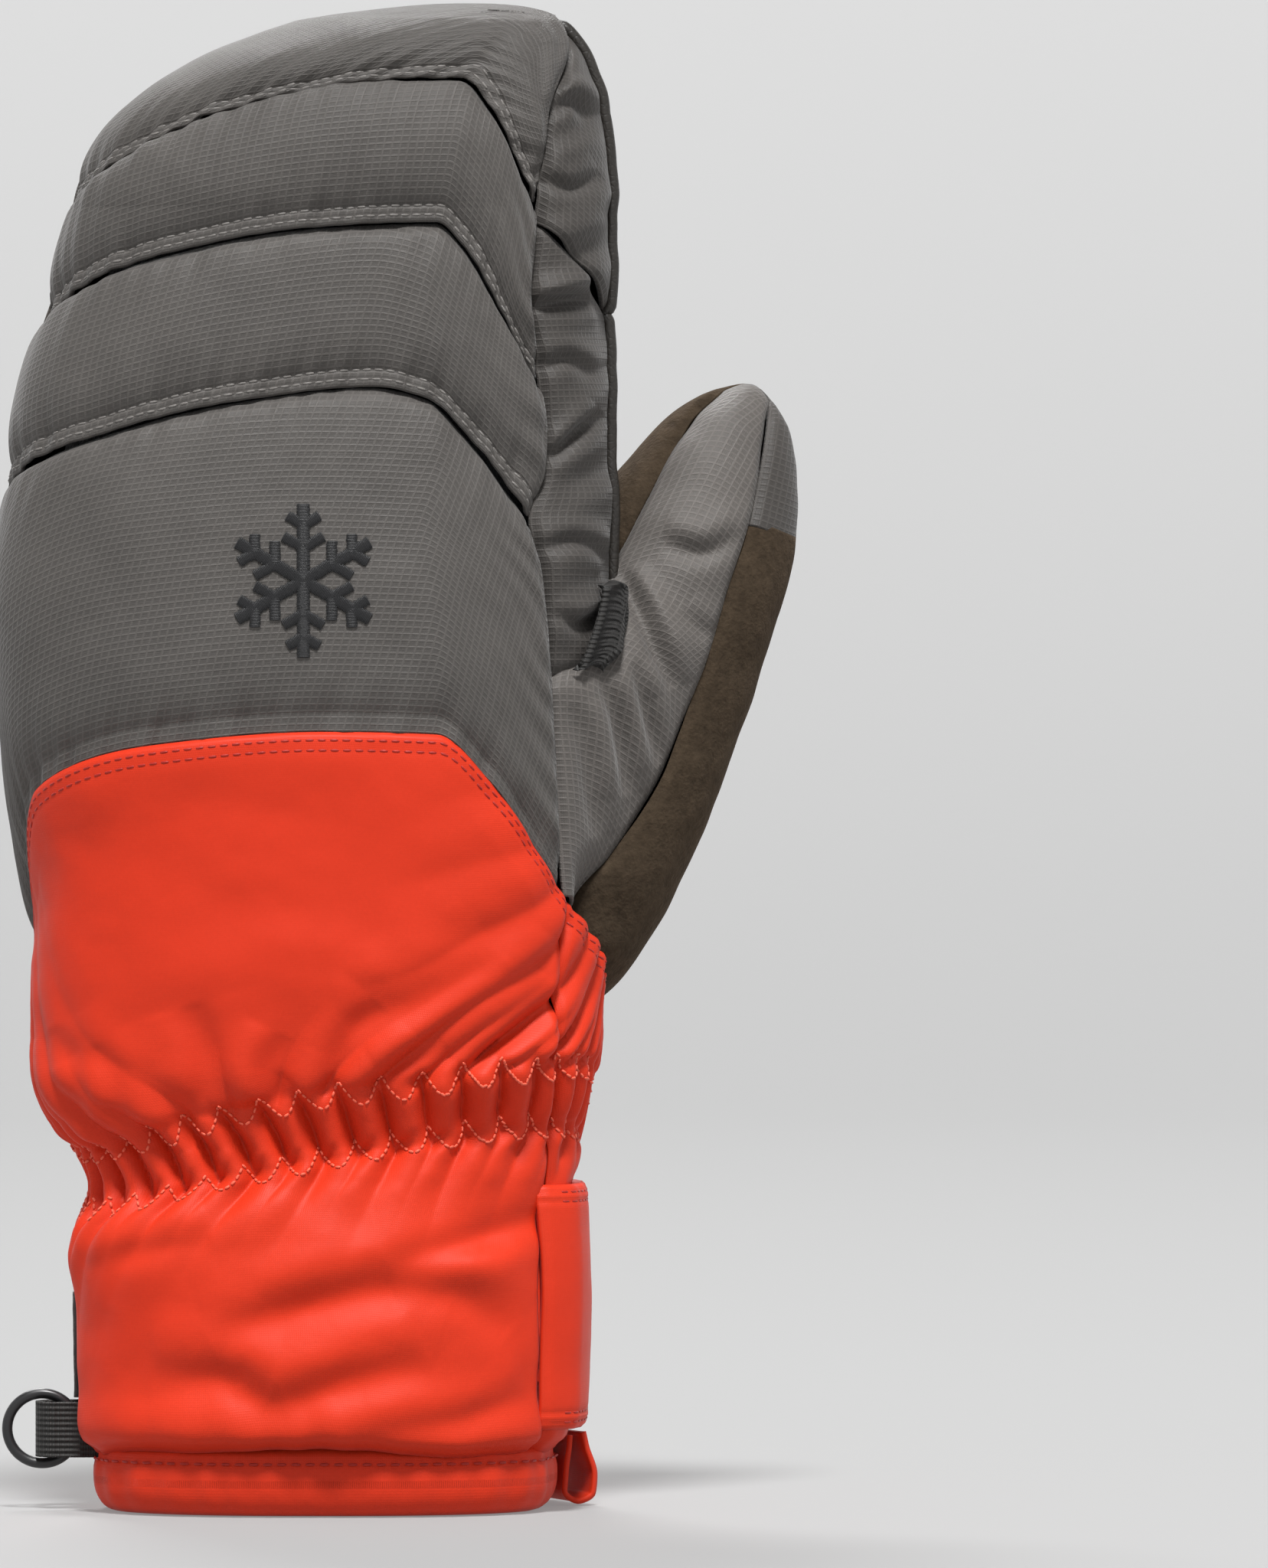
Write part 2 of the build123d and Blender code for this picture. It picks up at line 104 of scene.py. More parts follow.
# Seams as X, Z; a point outside the outline lies on it.
SEAM_LOW = ((-90, 203.5), (-50, 211.4), (-18.7, 219.2), (9.4, 222.3), (20.3, 220), (27, 214), (40.6, 197))
SEAM_MID = ((-90, 236), (-34.4, 248.1), (-3.1, 253.6), (21.9, 254.8), (27, 250.5), (41.4, 223.9))
SEAM_TOP = ((-90, 259), (-46.1, 264.5), (-18.7, 277.8), (9.4, 283.3), (27, 284), (33.5, 277), (41.7, 259.1))
CUFF_SEAM = (
    (-90, 109), (-58.7, 124), (-57.3, 143), (-34.4, 151.7), (0, 154.4), (21.9, 153.9),
    (32.8, 144.2), (47.4, 121.5), (54, 111), (90, 107))
PALM_CUFF_SEAM = ((-90, 109), (-50, 106), (-20, 106), (-2, 107), (8, 114), (40, 114), (90, 107))
RED_SIDE = ((12, 42.2), (66, 42.4), (90, 44), (105, 45.4), (122, 47.6))
SIDE_SEAM = (
    (120, 47.2), (136, 45.7), (165, 44), (187, 42.3), (196, 40.8), (206, 43), (215, 43), (226, 42.3),
    (241, 40.2), (255, 41.7), (267, 43), (277, 43.8), (290, 47.2), (297, 43))
GUSSET_SEAM = ((35, 262), (42, 255), (47, 250), (51, 245), (90, 237))
PALM_TOP = (
    (-90, 239), (-45, 262), (-24, 280), (0, 287), (18, 281), (33, 266), (42, 250), (46.5, 205),
    (50, 172), (90, 150))


def unit(v):
    return v / np.maximum(np.linalg.norm(v, axis=-1, keepdims=True), TINY)


def path_length(points):
    """Length along a line of points, up to each one."""
    return np.concatenate([[0], np.cumsum(np.linalg.norm(np.diff(points, axis=0), axis=1))])


def unit_grid(columns, rows):
    """Shares from 0 to 1 across and up, for each point of a grid."""
    return np.meshgrid(np.linspace(0, 1, columns), np.linspace(0, 1, rows))


def bell(distance, width):
    return np.exp(-((distance / width) ** 2))


def dip(distance, depth, width):
    return -depth * bell(distance, width)


def rise(distance, width):
    """0 at a seam, and nearly 1 a few widths away from it."""
    return 1 - np.exp(-distance / width)


def smooth(points):
    """A smooth function through points, given in rising order of the first number."""
    xs, ys = np.array(points, float).T
    steps = np.diff(xs)
    slopes = np.diff(ys) / steps
    tangents = np.empty_like(xs)
    tangents[0], tangents[-1] = slopes[0], slopes[-1]
    same = slopes[:-1] * slopes[1:] > 0
    sums = np.where(same, slopes[:-1] + slopes[1:], 1)
    tangents[1:-1] = np.where(same, 2 * slopes[:-1] * slopes[1:] / sums, 0)

    def at(x):
        x = np.clip(x, xs[0], xs[-1])
        i = np.clip(np.searchsorted(xs, x) - 1, 0, len(xs) - 2)
        h = steps[i]
        t = (x - xs[i]) / h
        start = ys[i] * (1 + 2 * t) + tangents[i] * h * t
        end = ys[i + 1] * (3 - 2 * t) - tangents[i + 1] * h * (1 - t)
        return start * (1 - t) ** 2 + end * t**2

    return at


def curves(points):
    """Smooth functions of the first number of each point, one for every other number."""
    return [smooth([(row[0], row[k]) for row in points]) for k in range(1, len(points[0]))]


REACHES = curves(ROWS)


def reach(z):
    """Reach of the surface at height z to each of its four sides."""
    q = np.clip((z - DOME_Z) / (TOP - DOME_Z), 0, 1)
    little, thumb, back, palm = (f(np.minimum(z, DOME_Z)) for f in REACHES)
    falls = [np.maximum(0, 1 - q**p) ** (1 / p) for p in DOME_POWERS]
    sides = (little + PEAK_X) * falls[0] - PEAK_X, PEAK_X + (thumb - PEAK_X) * falls[1]
    return *sides, back * falls[2], palm * falls[2]


def on_skin(u, z, inset=0.0):
    """The point at angle u and height z: u is 0 at the thumb side, a quarter turn at the palm."""
    little, thumb, back, palm = (r - inset for r in reach(z))
    c, s = np.cos(u), np.sin(u)
    x = np.sign(c) * np.abs(c) ** (2 / BOXY)
    y = np.sign(s) * np.abs(s) ** (2 / BOXY)
    x = (thumb - little) / 2 + (thumb + little) / 2 * x
    return np.stack([x, y * np.where(s > 0, palm, back), z + 0 * x], -1)


# Equal steps of "round" are about equal lengths around the mitten, and one turn is 1.
ANGLES = np.linspace(0, TAU, 2001)
ROUNDS = path_length(on_skin(ANGLES, np.full_like(ANGLES, 150.0)))
ROUNDS = ROUNDS / ROUNDS[-1]


def to_u(round_):
    return np.interp(round_ % 1.0, ROUNDS, ANGLES) + TAU * np.floor(round_)


def to_round(u):
    return np.interp(u % TAU, ANGLES, ROUNDS) + np.floor(u / TAU)


def angle_at(x, z, back=True):
    """The angle whose point at height z has that x, on the back or on the palm."""
    little, thumb, _, _ = reach(z)
    share = np.clip((x - (thumb - little) / 2) / np.maximum((thumb + little) / 2, 1e-6), -1, 1)
    u = np.arccos(np.sign(share) * np.abs(share) ** (BOXY / 2))
    return TAU - u if back else u


def seam(points, back=True):
    """A seam through points, as a height for each angle."""
    turns = [(float(to_round(angle_at(np.array(float(x)), np.array(float(z)), back))), z) for x, z in points]
    curve = smooth(sorted(turns))
    return lambda u: curve(to_round(u))


def constant(value):
    """One height at every angle, or one angle at every height."""
    return lambda at: np.full_like(at, float(value))


def hashed(i, j, k, seed):
    n = (i * 73856093) ^ (j * 19349663) ^ (k * 83492791) ^ (seed * 2654435)
    n = (n ^ (n >> 13)) * 1274126177
    return ((n ^ (n >> 16)) & 0xFFFF) / 32768.0 - 1.0


def noise(p, size, seed):
    """Smooth noise from -1 to 1, with lumps of that size (one number, or three for stretched lumps)."""
    q = p / np.asarray(size, float)
    i = np.floor(q).astype(np.int64)
    f = q - i
    f = f * f * (3 - 2 * f)
    total = 0
    for a in (0, 1):
        for b in (0, 1):
            for c in (0, 1):
                w = np.abs(1 - a - f[..., 0]) * np.abs(1 - b - f[..., 1]) * np.abs(1 - c - f[..., 2])
                total = total + w * hashed(i[..., 0] + a, i[..., 1] + b, i[..., 2] + c, seed)
    return total


def normals(p):
    n = np.cross(np.gradient(p, axis=1), np.gradient(p, axis=0))
    size = np.linalg.norm(n, axis=-1, keepdims=True)
    return np.where(size > TINY, n / np.maximum(size, TINY), 0)


def run_lengths(p, axis):
    steps = np.linalg.norm(np.diff(p, axis=axis), axis=-1)
    pad = [(0, 0), (0, 0)]
    pad[axis] = (1, 0)
    return np.cumsum(np.pad(steps, pad), axis=axis)


class Patch:
    """A grid of points between four edges: rows run across, and columns run up."""

    def __init__(self, points):
        self.base = points
        self.normal = normals(points)
        self.x, self.y = run_lengths(points, 1), run_lengths(points, 0)
        self.left, self.right = self.x, self.x[:, -1:] - self.x
        self.low, self.high = self.y, self.y[-1:, :] - self.y
        self.points = points

    def raise_by(self, height):
        self.points = self.base + self.normal * height[..., None]
        self.normal = normals(self.points)

    def edge(self):
        """Distance to the nearest of the four edges."""
        return np.minimum.reduce([self.left, self.right, self.low, self.high])

    def row(self, distance, from_top=False, trim=0.0):
        """Points and normals along a line at that distance from the lower or upper edge."""
        away = self.high if from_top else self.low
        turned = self.points.swapaxes(0, 1), self.normal.swapaxes(0, 1)
        return self.line(away.T, *turned, distance, from_top, trim)

    def column(self, distance, from_right=False, trim=0.0):
        away = self.right if from_right else self.left
        return self.line(away, self.points, self.normal, distance, from_right, trim)

    @staticmethod
    def line(away, points, norms, distance, backwards, trim):
        order = slice(None, None, -1) if backwards else slice(None)

        def at_distance(gap, values):
            return [np.interp(distance, gap[order], values[order, i]) for i in range(3)]

        lines = (np.array([at_distance(*pair) for pair in zip(away, grid)]) for grid in (points, norms))
        return trimmed(*lines, trim)


def trimmed(points, norms, trim):
    if not trim:
        return points, norms
    length = path_length(points)
    keep = (length > trim) & (length < length[-1] - trim)
    return points[keep], norms[keep]


def skin_patch(low, high, left, right, columns, rows, spread=None):
    """A patch of the mitten's surface. left and right give an angle for each height."""
    s, t = unit_grid(columns, rows)
    if spread is not None:
        t = spread(t)
    z = np.full(s.shape, 180.0)
    for _ in range(9):
        first, last = to_round(left(z)), to_round(right(z))
        u = to_u(first + (last - first) * s)
        below, above = low(u), high(u)
        z = below + (above - below) * t
    return Patch(on_skin(u, z))


# ---- Meshes ---------------------------------------------------------------------------------------
def ring_faces(around, section, ahead_first=True):
    """Faces of a ring of closed sections; the order of the corners turns them outwards."""
    index = np.arange(around * section).reshape(around, section)
    ahead, beside = np.roll(index, -1, 0), np.roll(index, -1, 1)
    both = np.roll(ahead, -1, 1)
    corners = (index, ahead, both, beside) if ahead_first else (index, beside, both, ahead)
    return np.stack(corners, -1).reshape(-1, 4)


def mesh_object(name, vertices, faces, material, uv=None):
    """uv is one pair per vertex, in millimetres."""
    mesh = bpy.data.meshes.new(name)
    mesh.vertices.add(len(vertices))
    mesh.vertices.foreach_set("co", (np.asarray(vertices, np.float64) * MM).astype(np.float32).ravel())
    sizes = np.array([len(f) for f in faces])
    corners = np.concatenate([np.asarray(f) for f in faces])
    mesh.loops.add(len(corners))
    mesh.loops.foreach_set("vertex_index", corners.astype(np.int32))
    mesh.polygons.add(len(sizes))
    mesh.polygons.foreach_set("loop_start", np.concatenate([[0], np.cumsum(sizes)[:-1]]).astype(np.int32))
    mesh.polygons.foreach_set("loop_total", sizes.astype(np.int32))
    mesh.update(calc_edges=True)
    if uv is not None:
        layer = mesh.uv_layers.new(name="cloth")
        layer.data.foreach_set("uv", (np.asarray(uv)[corners] * MM).astype(np.float32).ravel())
    mesh.polygons.foreach_set("use_smooth", np.full(len(sizes), True))
    mesh.materials.append(material)
    obj = bpy.data.objects.new(name, mesh)
    bpy.context.scene.collection.objects.link(obj)
    return obj


def grid_faces(rows, columns, offset=0, wrap=False):
    r, c = np.meshgrid(np.arange(rows - 1), np.arange(columns if wrap else columns - 1), indexing="ij")
    d = (c + 1) % columns
    faces = np.stack([r * columns + c, r * columns + d, (r + 1) * columns + d, (r + 1) * columns + c], -1)
    return faces.reshape(-1, 4) + offset


def closed_patch(name, patch, thick, material):
    """The patch as a closed sheet of that thickness, its outer face on the patch."""
    rows, columns = patch.points.shape[:2]
    count = rows * columns
    outer = patch.points.reshape(-1, 3)
    inner = (patch.points - patch.normal * thick).reshape(-1, 3)
    front = grid_faces(rows, columns)
    back = grid_faces(rows, columns, count)[:, ::-1]
    index = np.arange(count).reshape(rows, columns)
    rim = np.concatenate([index[0, :], index[1:, -1], index[-1, -2::-1], index[-2:0:-1, 0]])
    after = np.roll(rim, -1)
    sides = np.stack([after, rim, rim + count, after + count], -1)
    uv = np.stack([patch.x, patch.y], -1).reshape(-1, 2)
    faces = np.concatenate([front, back, sides])
    return mesh_object(name, np.concatenate([outer, inner]), faces, material, np.concatenate([uv, uv]))


def bead():
    """A long bead along X from -1 to 1, of radius 1: its vertices and faces."""
    sides, rings = 6, 5
    vertices, faces = [(-1, 0, 0)], []
    for r in range(1, rings):
        a = math.pi * r / rings
        out = math.sin(a) ** 0.5
        for k in range(sides):
            b = TAU * k / sides
            vertices.append((-math.cos(a), out * math.cos(b), out * math.sin(b)))
    vertices.append((1, 0, 0))
    last = len(vertices) - 1
    for k in range(sides):
        n = (k + 1) % sides
        faces.append((0, 1 + n, 1 + k))
        for r in range(rings - 2):
            a, b = 1 + r * sides, 1 + (r + 1) * sides
            faces.append((a + k, a + n, b + n, b + k))
        base = 1 + (rings - 2) * sides
        faces.append((base + k, base + n, last))
    return np.array(vertices), faces


def beads(centres, along, norms, length, radius, flatten=0.8):
    """Vertices and faces of one bead at each centre."""
    template, faces = bead()
    along = unit(along)
    side = unit(np.cross(norms, along))
    axes = (along, side, np.cross(along, side))
    length = np.broadcast_to(length, len(centres))[:, None, None]
    sizes = (0.5 * length, radius, radius * flatten)
    v = centres[:, None]
    for k in range(3):
        v = v + axes[k][:, None] * template[:, k][None, :, None] * sizes[k]
    every = [tuple(k * len(template) + i for i in f) for k in range(len(centres)) for f in faces]
    return v.reshape(-1, 3), every


def along_path(points, norms, pitch):
    """Evenly spaced centres, directions and normals along a path."""
    length = path_length(points)
    count = max(1, int(length[-1] / pitch))
    at = (np.arange(count) + 0.5) * length[-1] / count
    reach_ahead = 0.3

    def values(place, source):
        return np.stack([np.interp(place, length, source[:, i]) for i in range(3)], -1)

    direction = values(at + reach_ahead, points) - values(at - reach_ahead, points)
    return values(at, points), direction, unit(values(at, norms))


def stitch_object(name, paths, material, pitch=2.5, length=1.9, radius=0.23, sink=0.02):
    """A running stitch along each path of points and normals, as one object."""
    vertices, faces = [], []
    for points, norms in paths:
        centre, direction, norm = along_path(points, norms, pitch)
        v, f = beads(centre - norm * sink, direction, norm, length, radius)
        base = sum(len(x) for x in vertices)
        vertices.append(v)
        faces.extend([tuple(i + base for i in face) for face in f])
    return mesh_object(name, np.concatenate(vertices), faces, material)


def tube_object(name, points, radius, material):
    """A closed tube along points."""
    sides = 10
    tangent = unit(np.gradient(points, axis=0))
    side = unit(np.cross(tangent, [0.0, -1.0, 0.0]))
    up = np.cross(side, tangent)
    a = TAU * np.arange(sides) / sides
    ring = side[:, None] * np.cos(a)[None, :, None] + up[:, None] * np.sin(a)[None, :, None]
    v = (points[:, None] + ring * radius).reshape(-1, 3)
    faces = [tuple(f) for f in grid_faces(len(points), sides, wrap=True)]
    faces.append(tuple(range(sides))[::-1])
    faces.append(tuple(range(len(v) - sides, len(v))))
    return mesh_object(name, v, faces, material)


# ---- Materials ------------------------------------------------------------------------------------
class Shader:
    """A Principled material built from short calls."""

    def __init__(self, name, color, roughness, **inputs):
        self.material = bpy.data.materials.new(name)
        self.material.use_nodes = True
        self.tree = self.material.node_tree
        self.surface = self.tree.nodes["Principled BSDF"]
        self.surface.inputs["Base Color"].default_value = (*color, 1)
        self.surface.inputs["Roughness"].default_value = roughness
        for key, value in inputs.items():
            self.surface.inputs[key.replace("_", " ")].default_value = value
        self.color = color

    def node(self, kind, links=(), **settings):
        node = self.tree.nodes.new(kind)
        for key, value in settings.items():
            if key in node.inputs:
                node.inputs[key].default_value = value
            elif hasattr(node, key):
                setattr(node, key, value)
            else:
                node.inputs[key.replace("_", " ")].default_value = value
        for socket, source in dict(links).items():
            self.tree.links.new(source, node.inputs[socket])
        return node

    def place(self, space="Object"):
        return self.node("ShaderNodeTexCoord").outputs[space]

    def mix(self, *layers):
        """The sum of values, each times its weight."""
        total = None
        for value, weight in layers:
            part = self.math("MULTIPLY", value, weight)
            total = part if total is None else self.math("ADD", total, part)
        return total

    def math(self, operation, a, b=0.0, c=0.0):
        node = self.tree.nodes.new("ShaderNodeMath")
        node.operation = operation
        for k, value in enumerate((a, b, c)):
            if isinstance(value, (int, float)):
                node.inputs[k].default_value = value
            else:
                self.tree.links.new(value, node.inputs[k])
        return node.outputs[0]

    def noise(self, scale, detail=3.0, rough=0.5):
        settings = {"Scale": scale, "Detail": detail, "Roughness": rough}
        return self.node("ShaderNodeTexNoise", {"Vector": self.place()}, **settings).outputs["Fac"]

    def stripes(self, axis, pitch, sharp):
        """0 to 1 ridges every pitch metres along one axis of the cloth's own coordinates."""
        split = self.node("ShaderNodeSeparateXYZ", {"Vector": self.place("UV")})
        phase = self.math("MULTIPLY", split.outputs[axis], TAU / pitch)
        wave = self.math("MULTIPLY_ADD", self.math("SINE", phase), 0.5, 0.5)
        return self.math("POWER", wave, sharp)

    def tint(self, factor, low, high):
        """Base colour between low and high times the material's own colour."""
        mix = self.node("ShaderNodeMix", data_type="RGBA")
        self.tree.links.new(factor, mix.inputs[0])
        mix.inputs[6].default_value = (*(c * low for c in self.color), 1)
        mix.inputs[7].default_value = (*(c * high for c in self.color), 1)
        self.tree.links.new(mix.outputs[2], self.surface.inputs["Base Color"])

    def rough(self, factor, low, high):
        spread = self.node("ShaderNodeMapRange", {"Value": factor}, To_Min=low, To_Max=high)
        self.tree.links.new(spread.outputs[0], self.surface.inputs["Roughness"])

    def bump(self, *layers):
        """Each layer is a height and a depth in millimetres."""
        total = self.mix(*((height, depth * MM) for height, depth in layers))
        bump = self.node("ShaderNodeBump", {"Height": total}, Strength=1.0, Distance=1.0)
        self.tree.links.new(bump.outputs[0], self.surface.inputs["Normal"])


def ripstop(name, color):
    s = Shader(name, color, 0.6, Sheen_Weight=0.12, Sheen_Roughness=0.4, Specular_IOR_Level=0.3)
    ribs = s.stripes(1, 1.28 * MM, 4.0)
    cross = s.stripes(0, 1.6 * MM, 5.0)
    yarn_a, yarn_b = s.stripes(1, 0.36 * MM, 1.0), s.stripes(0, 0.36 * MM, 1.0)
    cloudy, speck = s.noise(60, 4), s.noise(1500, 2)
    grid = s.math("MAXIMUM", ribs, s.math("MULTIPLY", cross, 0.95))
    fine = s.math("MULTIPLY", yarn_a, yarn_b)
    s.tint(s.mix((grid, 0.42), (cloudy, 0.45), (speck, 0.3)), 0.62, 1.42)
    s.rough(cloudy, 0.5, 0.68)
    s.bump((grid, 0.075), (fine, 0.03), (cloudy, 0.35))
    return s.material


def softshell(name, color):
    s = Shader(name, color, 0.5, Sheen_Weight=0.03, Sheen_Roughness=0.35, Specular_IOR_Level=0.2)
    yarn_a, yarn_b = s.stripes(1, 0.42 * MM, 1.0), s.stripes(0, 0.42 * MM, 1.0)
    cloudy, speck = s.noise(45, 4), s.noise(1800, 2)
    s.tint(s.mix((cloudy, 0.6), (speck, 0.4)), 0.86, 1.12)
    s.rough(cloudy, 0.46, 0.62)
    s.bump((s.math("MULTIPLY", yarn_a, yarn_b), 0.022), (cloudy, 0.3), (s.noise(240, 3), 0.1))
    return s.material


def leather(name, color, roughness=0.42, grain=700):
    s = Shader(name, color, roughness, Specular_IOR_Level=0.5)
    cells = s.node("ShaderNodeTexVoronoi", {"Vector": s.place()}, Scale=grain, feature="DISTANCE_TO_EDGE")
    creases = s.math("MINIMUM", s.math("MULTIPLY", cells.outputs["Distance"], 6.0), 1.0)
    cloudy, fine = s.noise(55, 5), s.noise(900, 3)
    s.tint(s.mix((cloudy, 0.7), (creases, 0.3)), 0.62, 1.35)
    s.rough(s.mix((cloudy, 0.6), (fine, 0.4)), roughness - 0.1, roughness + 0.22)
    s.bump((creases, 0.05), (fine, 0.05), (s.noise(160, 4), 0.25))
    return s.material


def suede(name, color):
    s = Shader(name, color, 0.95, Sheen_Weight=0.12, Sheen_Roughness=0.5, Sheen_Tint=(0.5, 0.36, 0.26, 1),
               Specular_IOR_Level=0.08)
    nap, patchy, tufts = s.noise(1500, 4), s.noise(130, 5, rough=0.7), s.noise(520, 3)
    s.tint(s.mix((s.mix((nap, 0.4), (patchy, 0.6)), 0.7), (tufts, 0.3)), -1.1, 3.1)
    s.bump((nap, 0.2), (tufts, 0.25), (patchy, 0.3))
    return s.material


def webbing(name, color):
    s = Shader(name, color, 0.6, Sheen_Weight=0.05, Specular_IOR_Level=0.35)
    ribs, strands = s.stripes(1, 1.05 * MM, 1.0), s.stripes(0, 0.5 * MM, 1.0)
    s.tint(s.mix((ribs, 0.6), (s.noise(900), 0.4)), 0.45, 1.7)
    s.bump((ribs, 0.28), (strands, 0.08))
    return s.material


def thread(name, color):
    s = Shader(name, color, 0.5, Sheen_Weight=0.08, Specular_IOR_Level=0.35)
    s.tint(s.noise(1400, 2), 0.75, 1.25)
    s.bump((s.noise(2600, 2), 0.05))
    return s.material


def pile(name, color, scale, depth):
    s = Shader(name, color, 0.95, Sheen_Weight=0.6, Sheen_Roughness=0.6, Specular_IOR_Level=0.1)
    tufts = s.noise(scale, 4, rough=0.7)
    s.tint(tufts, 0.5, 1.6)
    s.bump((tufts, depth), (s.noise(scale * 3, 2), depth / 3))
    return s.material


def hard_black(name):
    s = Shader(name, (0.012, 0.012, 0.013), 0.32, Specular_IOR_Level=0.5)
    scuffs = s.noise(300, 5)
    s.rough(scuffs, 0.24, 0.5)
    s.tint(scuffs, 0.8, 1.3)
    s.bump((s.noise(1500, 2), 0.01))
    return s.material


GREY = ripstop("grey ripstop", (0.073, 0.067, 0.062))
# The grey ripstop again, made darker: painted shade for the side panels, which face away from the key light.
GREY_PAINTED_SHADE = ripstop("grey ripstop with painted shade", (0.050, 0.045, 0.041))
# The grey ripstop again, made lighter: painted light for the thumb, which faces up into the key light.
GREY_PAINTED_LIGHT = ripstop("grey ripstop with painted light", (0.092, 0.083, 0.076))
RED = softshell("red softshell", (0.57, 0.029, 0.007))
PALM = leather("palm leather", (0.036, 0.028, 0.022))
PATCH = leather("patch leather", (0.076, 0.062, 0.051), 0.36, 520)
PIPING = leather("piping leather", (0.017, 0.014, 0.011))
SUEDE = suede("suede", (0.028, 0.020, 0.013))
BLACK_WEB = webbing("black webbing", (0.014, 0.013, 0.012))
THREAD_GREY = thread("grey thread", (0.145, 0.135, 0.126))
THREAD_RED = thread("red thread", (0.34, 0.012, 0.005))
THREAD_CORAL = thread("coral thread", (0.70, 0.105, 0.055))
THREAD_BLACK = thread("black thread", (0.009, 0.009, 0.010))
THREAD_BROWN = thread("brown thread", (0.028, 0.022, 0.018))
LOOP_TAPE = pile("loop tape", (0.022, 0.021, 0.021), 1500, 0.25)
HOOK_TAPE = pile("hook tape", (0.016, 0.016, 0.016), 1100, 0.3)
FLEECE = pile("fleece lining", (0.030, 0.030, 0.032), 700, 0.6)
HARD_BLACK = hard_black("ring black")


# ---- Putting pieces on bodies -----------------------------------------------------------------------
def wear(obj, place, nodes=()):
    """place is a body, or two bodies and the points between which the piece would bend; for those the piece's
    transform is only baked.
    """
    if isinstance(place, str):
        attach(obj, place)
    else:
        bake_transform(obj)
    if nodes:
        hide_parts(*nodes)


def sew(name, paths, color, place, **look):
    wear(stitch_object(name, paths, color, **look), place)


WRIST_SPARE = 9.0  # how far the wrist's bend goes past the gathers
THUMB_BEND, STRAP_BEND = 9.0, 6.0  # half the length of each bend


def bend_at(first, second, pivot, half):
    return first, second, (pivot - half) * MM, (pivot + half) * MM


THUMB = bend_at("hand", "thumb_tip", THUMB_PIVOT, ALONG * THUMB_BEND)
STRAP = bend_at("cuff", "strap", STRAP_PIVOT, FORWARD * STRAP_BEND)
WRIST = ("cuff", "hand", (0, 0, (WRIST_LOW - WRIST_SPARE) * MM), (0, 0, (WRIST_HIGH + WRIST_SPARE) * MM))
PATCHES = {}  # finished surfaces that later pieces lie on


# ---- Quilted back panels ----------------------------------------------------------------------------
def side_angle(z):
    return angle_at(smooth(SIDE_SEAM)(z), z)


little_side, thumb_side = constant(math.pi), constant(TAU)


def puckers(p, period, seed):
    """Uneven ridges across a seam."""
    phase = noise(p.base, 18, seed) * 2.2
    grow = 0.6 + 0.6 * noise(p.base, 11, seed + 1)
    return np.sin(TAU * p.x / period + phase) * grow


def crease(p, line, depth, width):
    """A fold along a line of X, Z points: a valley, with a full roll above it and a low one below."""
    knots = [(share, *point) for share, point in zip(np.linspace(0, 1, len(line)), line)]
    line = np.stack([way(np.linspace(0, 1, 14)) for way in curves(knots)], -1)
    x, z = p.base[..., 0], p.base[..., 2]
    best, across, share = np.full(x.shape, 1e9), np.zeros(x.shape), np.zeros(x.shape)
    lengths = np.linalg.norm(np.diff(line, axis=0), axis=1)
    done = 0.0
    for start, end, length in zip(line[:-1], line[1:], lengths):
        way = (end - start) / length
        dx, dz = x - start[0], z - start[1]
        along = np.clip(dx * way[0] + dz * way[1], 0, length)
        gap = np.hypot(dx - way[0] * along, dz - way[1] * along)
        side = way[0] * dz - way[1] * dx
        near = gap < best
        best, across = np.where(near, gap, best), np.where(near, side, across)
        share = np.where(near, (done + along) / lengths.sum(), share)
        done += length
    d = np.where(across > 0, best, -best)
    fade = np.sin(math.pi * np.clip(share, 0.001, 0.999)) ** 0.6
    rolls = 0.75 * bell(d - 1.9 * width, 1.3 * width) + 0.4 * bell(d + 2.1 * width, 1.6 * width)
    return depth * fade * (rolls - bell(d, width))


def quilt_height(p, seed, puff, strip):
    """Puffed between its seams: tucked under the panel above, and stitched flat along its lower edge."""
    height = puff * rise(np.maximum(p.low - 3.8, 0), 5) * rise(p.high, 4.0)
    height += dip(p.high, 2.4, 1.5) + dip(p.right, 1.7, 1.6)
    if strip:
        first, second = (p.low - d for d in NARROW_ROWS)
        height += dip(p.low, 0.55, 0.5) + dip(first, 0.22, 0.4) + dip(second, 0.30, 0.45)
    near_top, near_low = np.exp(-p.high / 6), np.exp(-np.maximum(p.low - 4, 0) / 6)
    height += puckers(p, 5.6, seed) * (0.42 * near_top + 0.34 * near_low) * rise(p.high, 1.2)
    height += puckers(p, 13, seed + 6) * (0.50 * near_top + 0.42 * near_low) * rise(p.high, 1.2)
    near_side = np.exp(-p.right / 8)
    height += 0.6 * near_side * np.sin(TAU * p.y / 9 + 2 * noise(p.base, 12, seed + 5)) * rise(p.right, 1.5)
    height += 0.75 * noise(p.base, 34, seed + 2) + 0.35 * noise(p.base, 13, seed + 3)
    return height + 0.1 * noise(p.base, 5, seed + 4)


def close_top(p, height):
    """Heights that fall to nothing just below the very top."""
    return height * np.clip((TOP - p.base[..., 2]) / 6, 0, 1)


def cloth(name, p, material, place, nodes):
    """A padded piece of cloth."""
    obj = closed_patch(name, p, CLOTH, material)
    wear(obj, place, nodes)


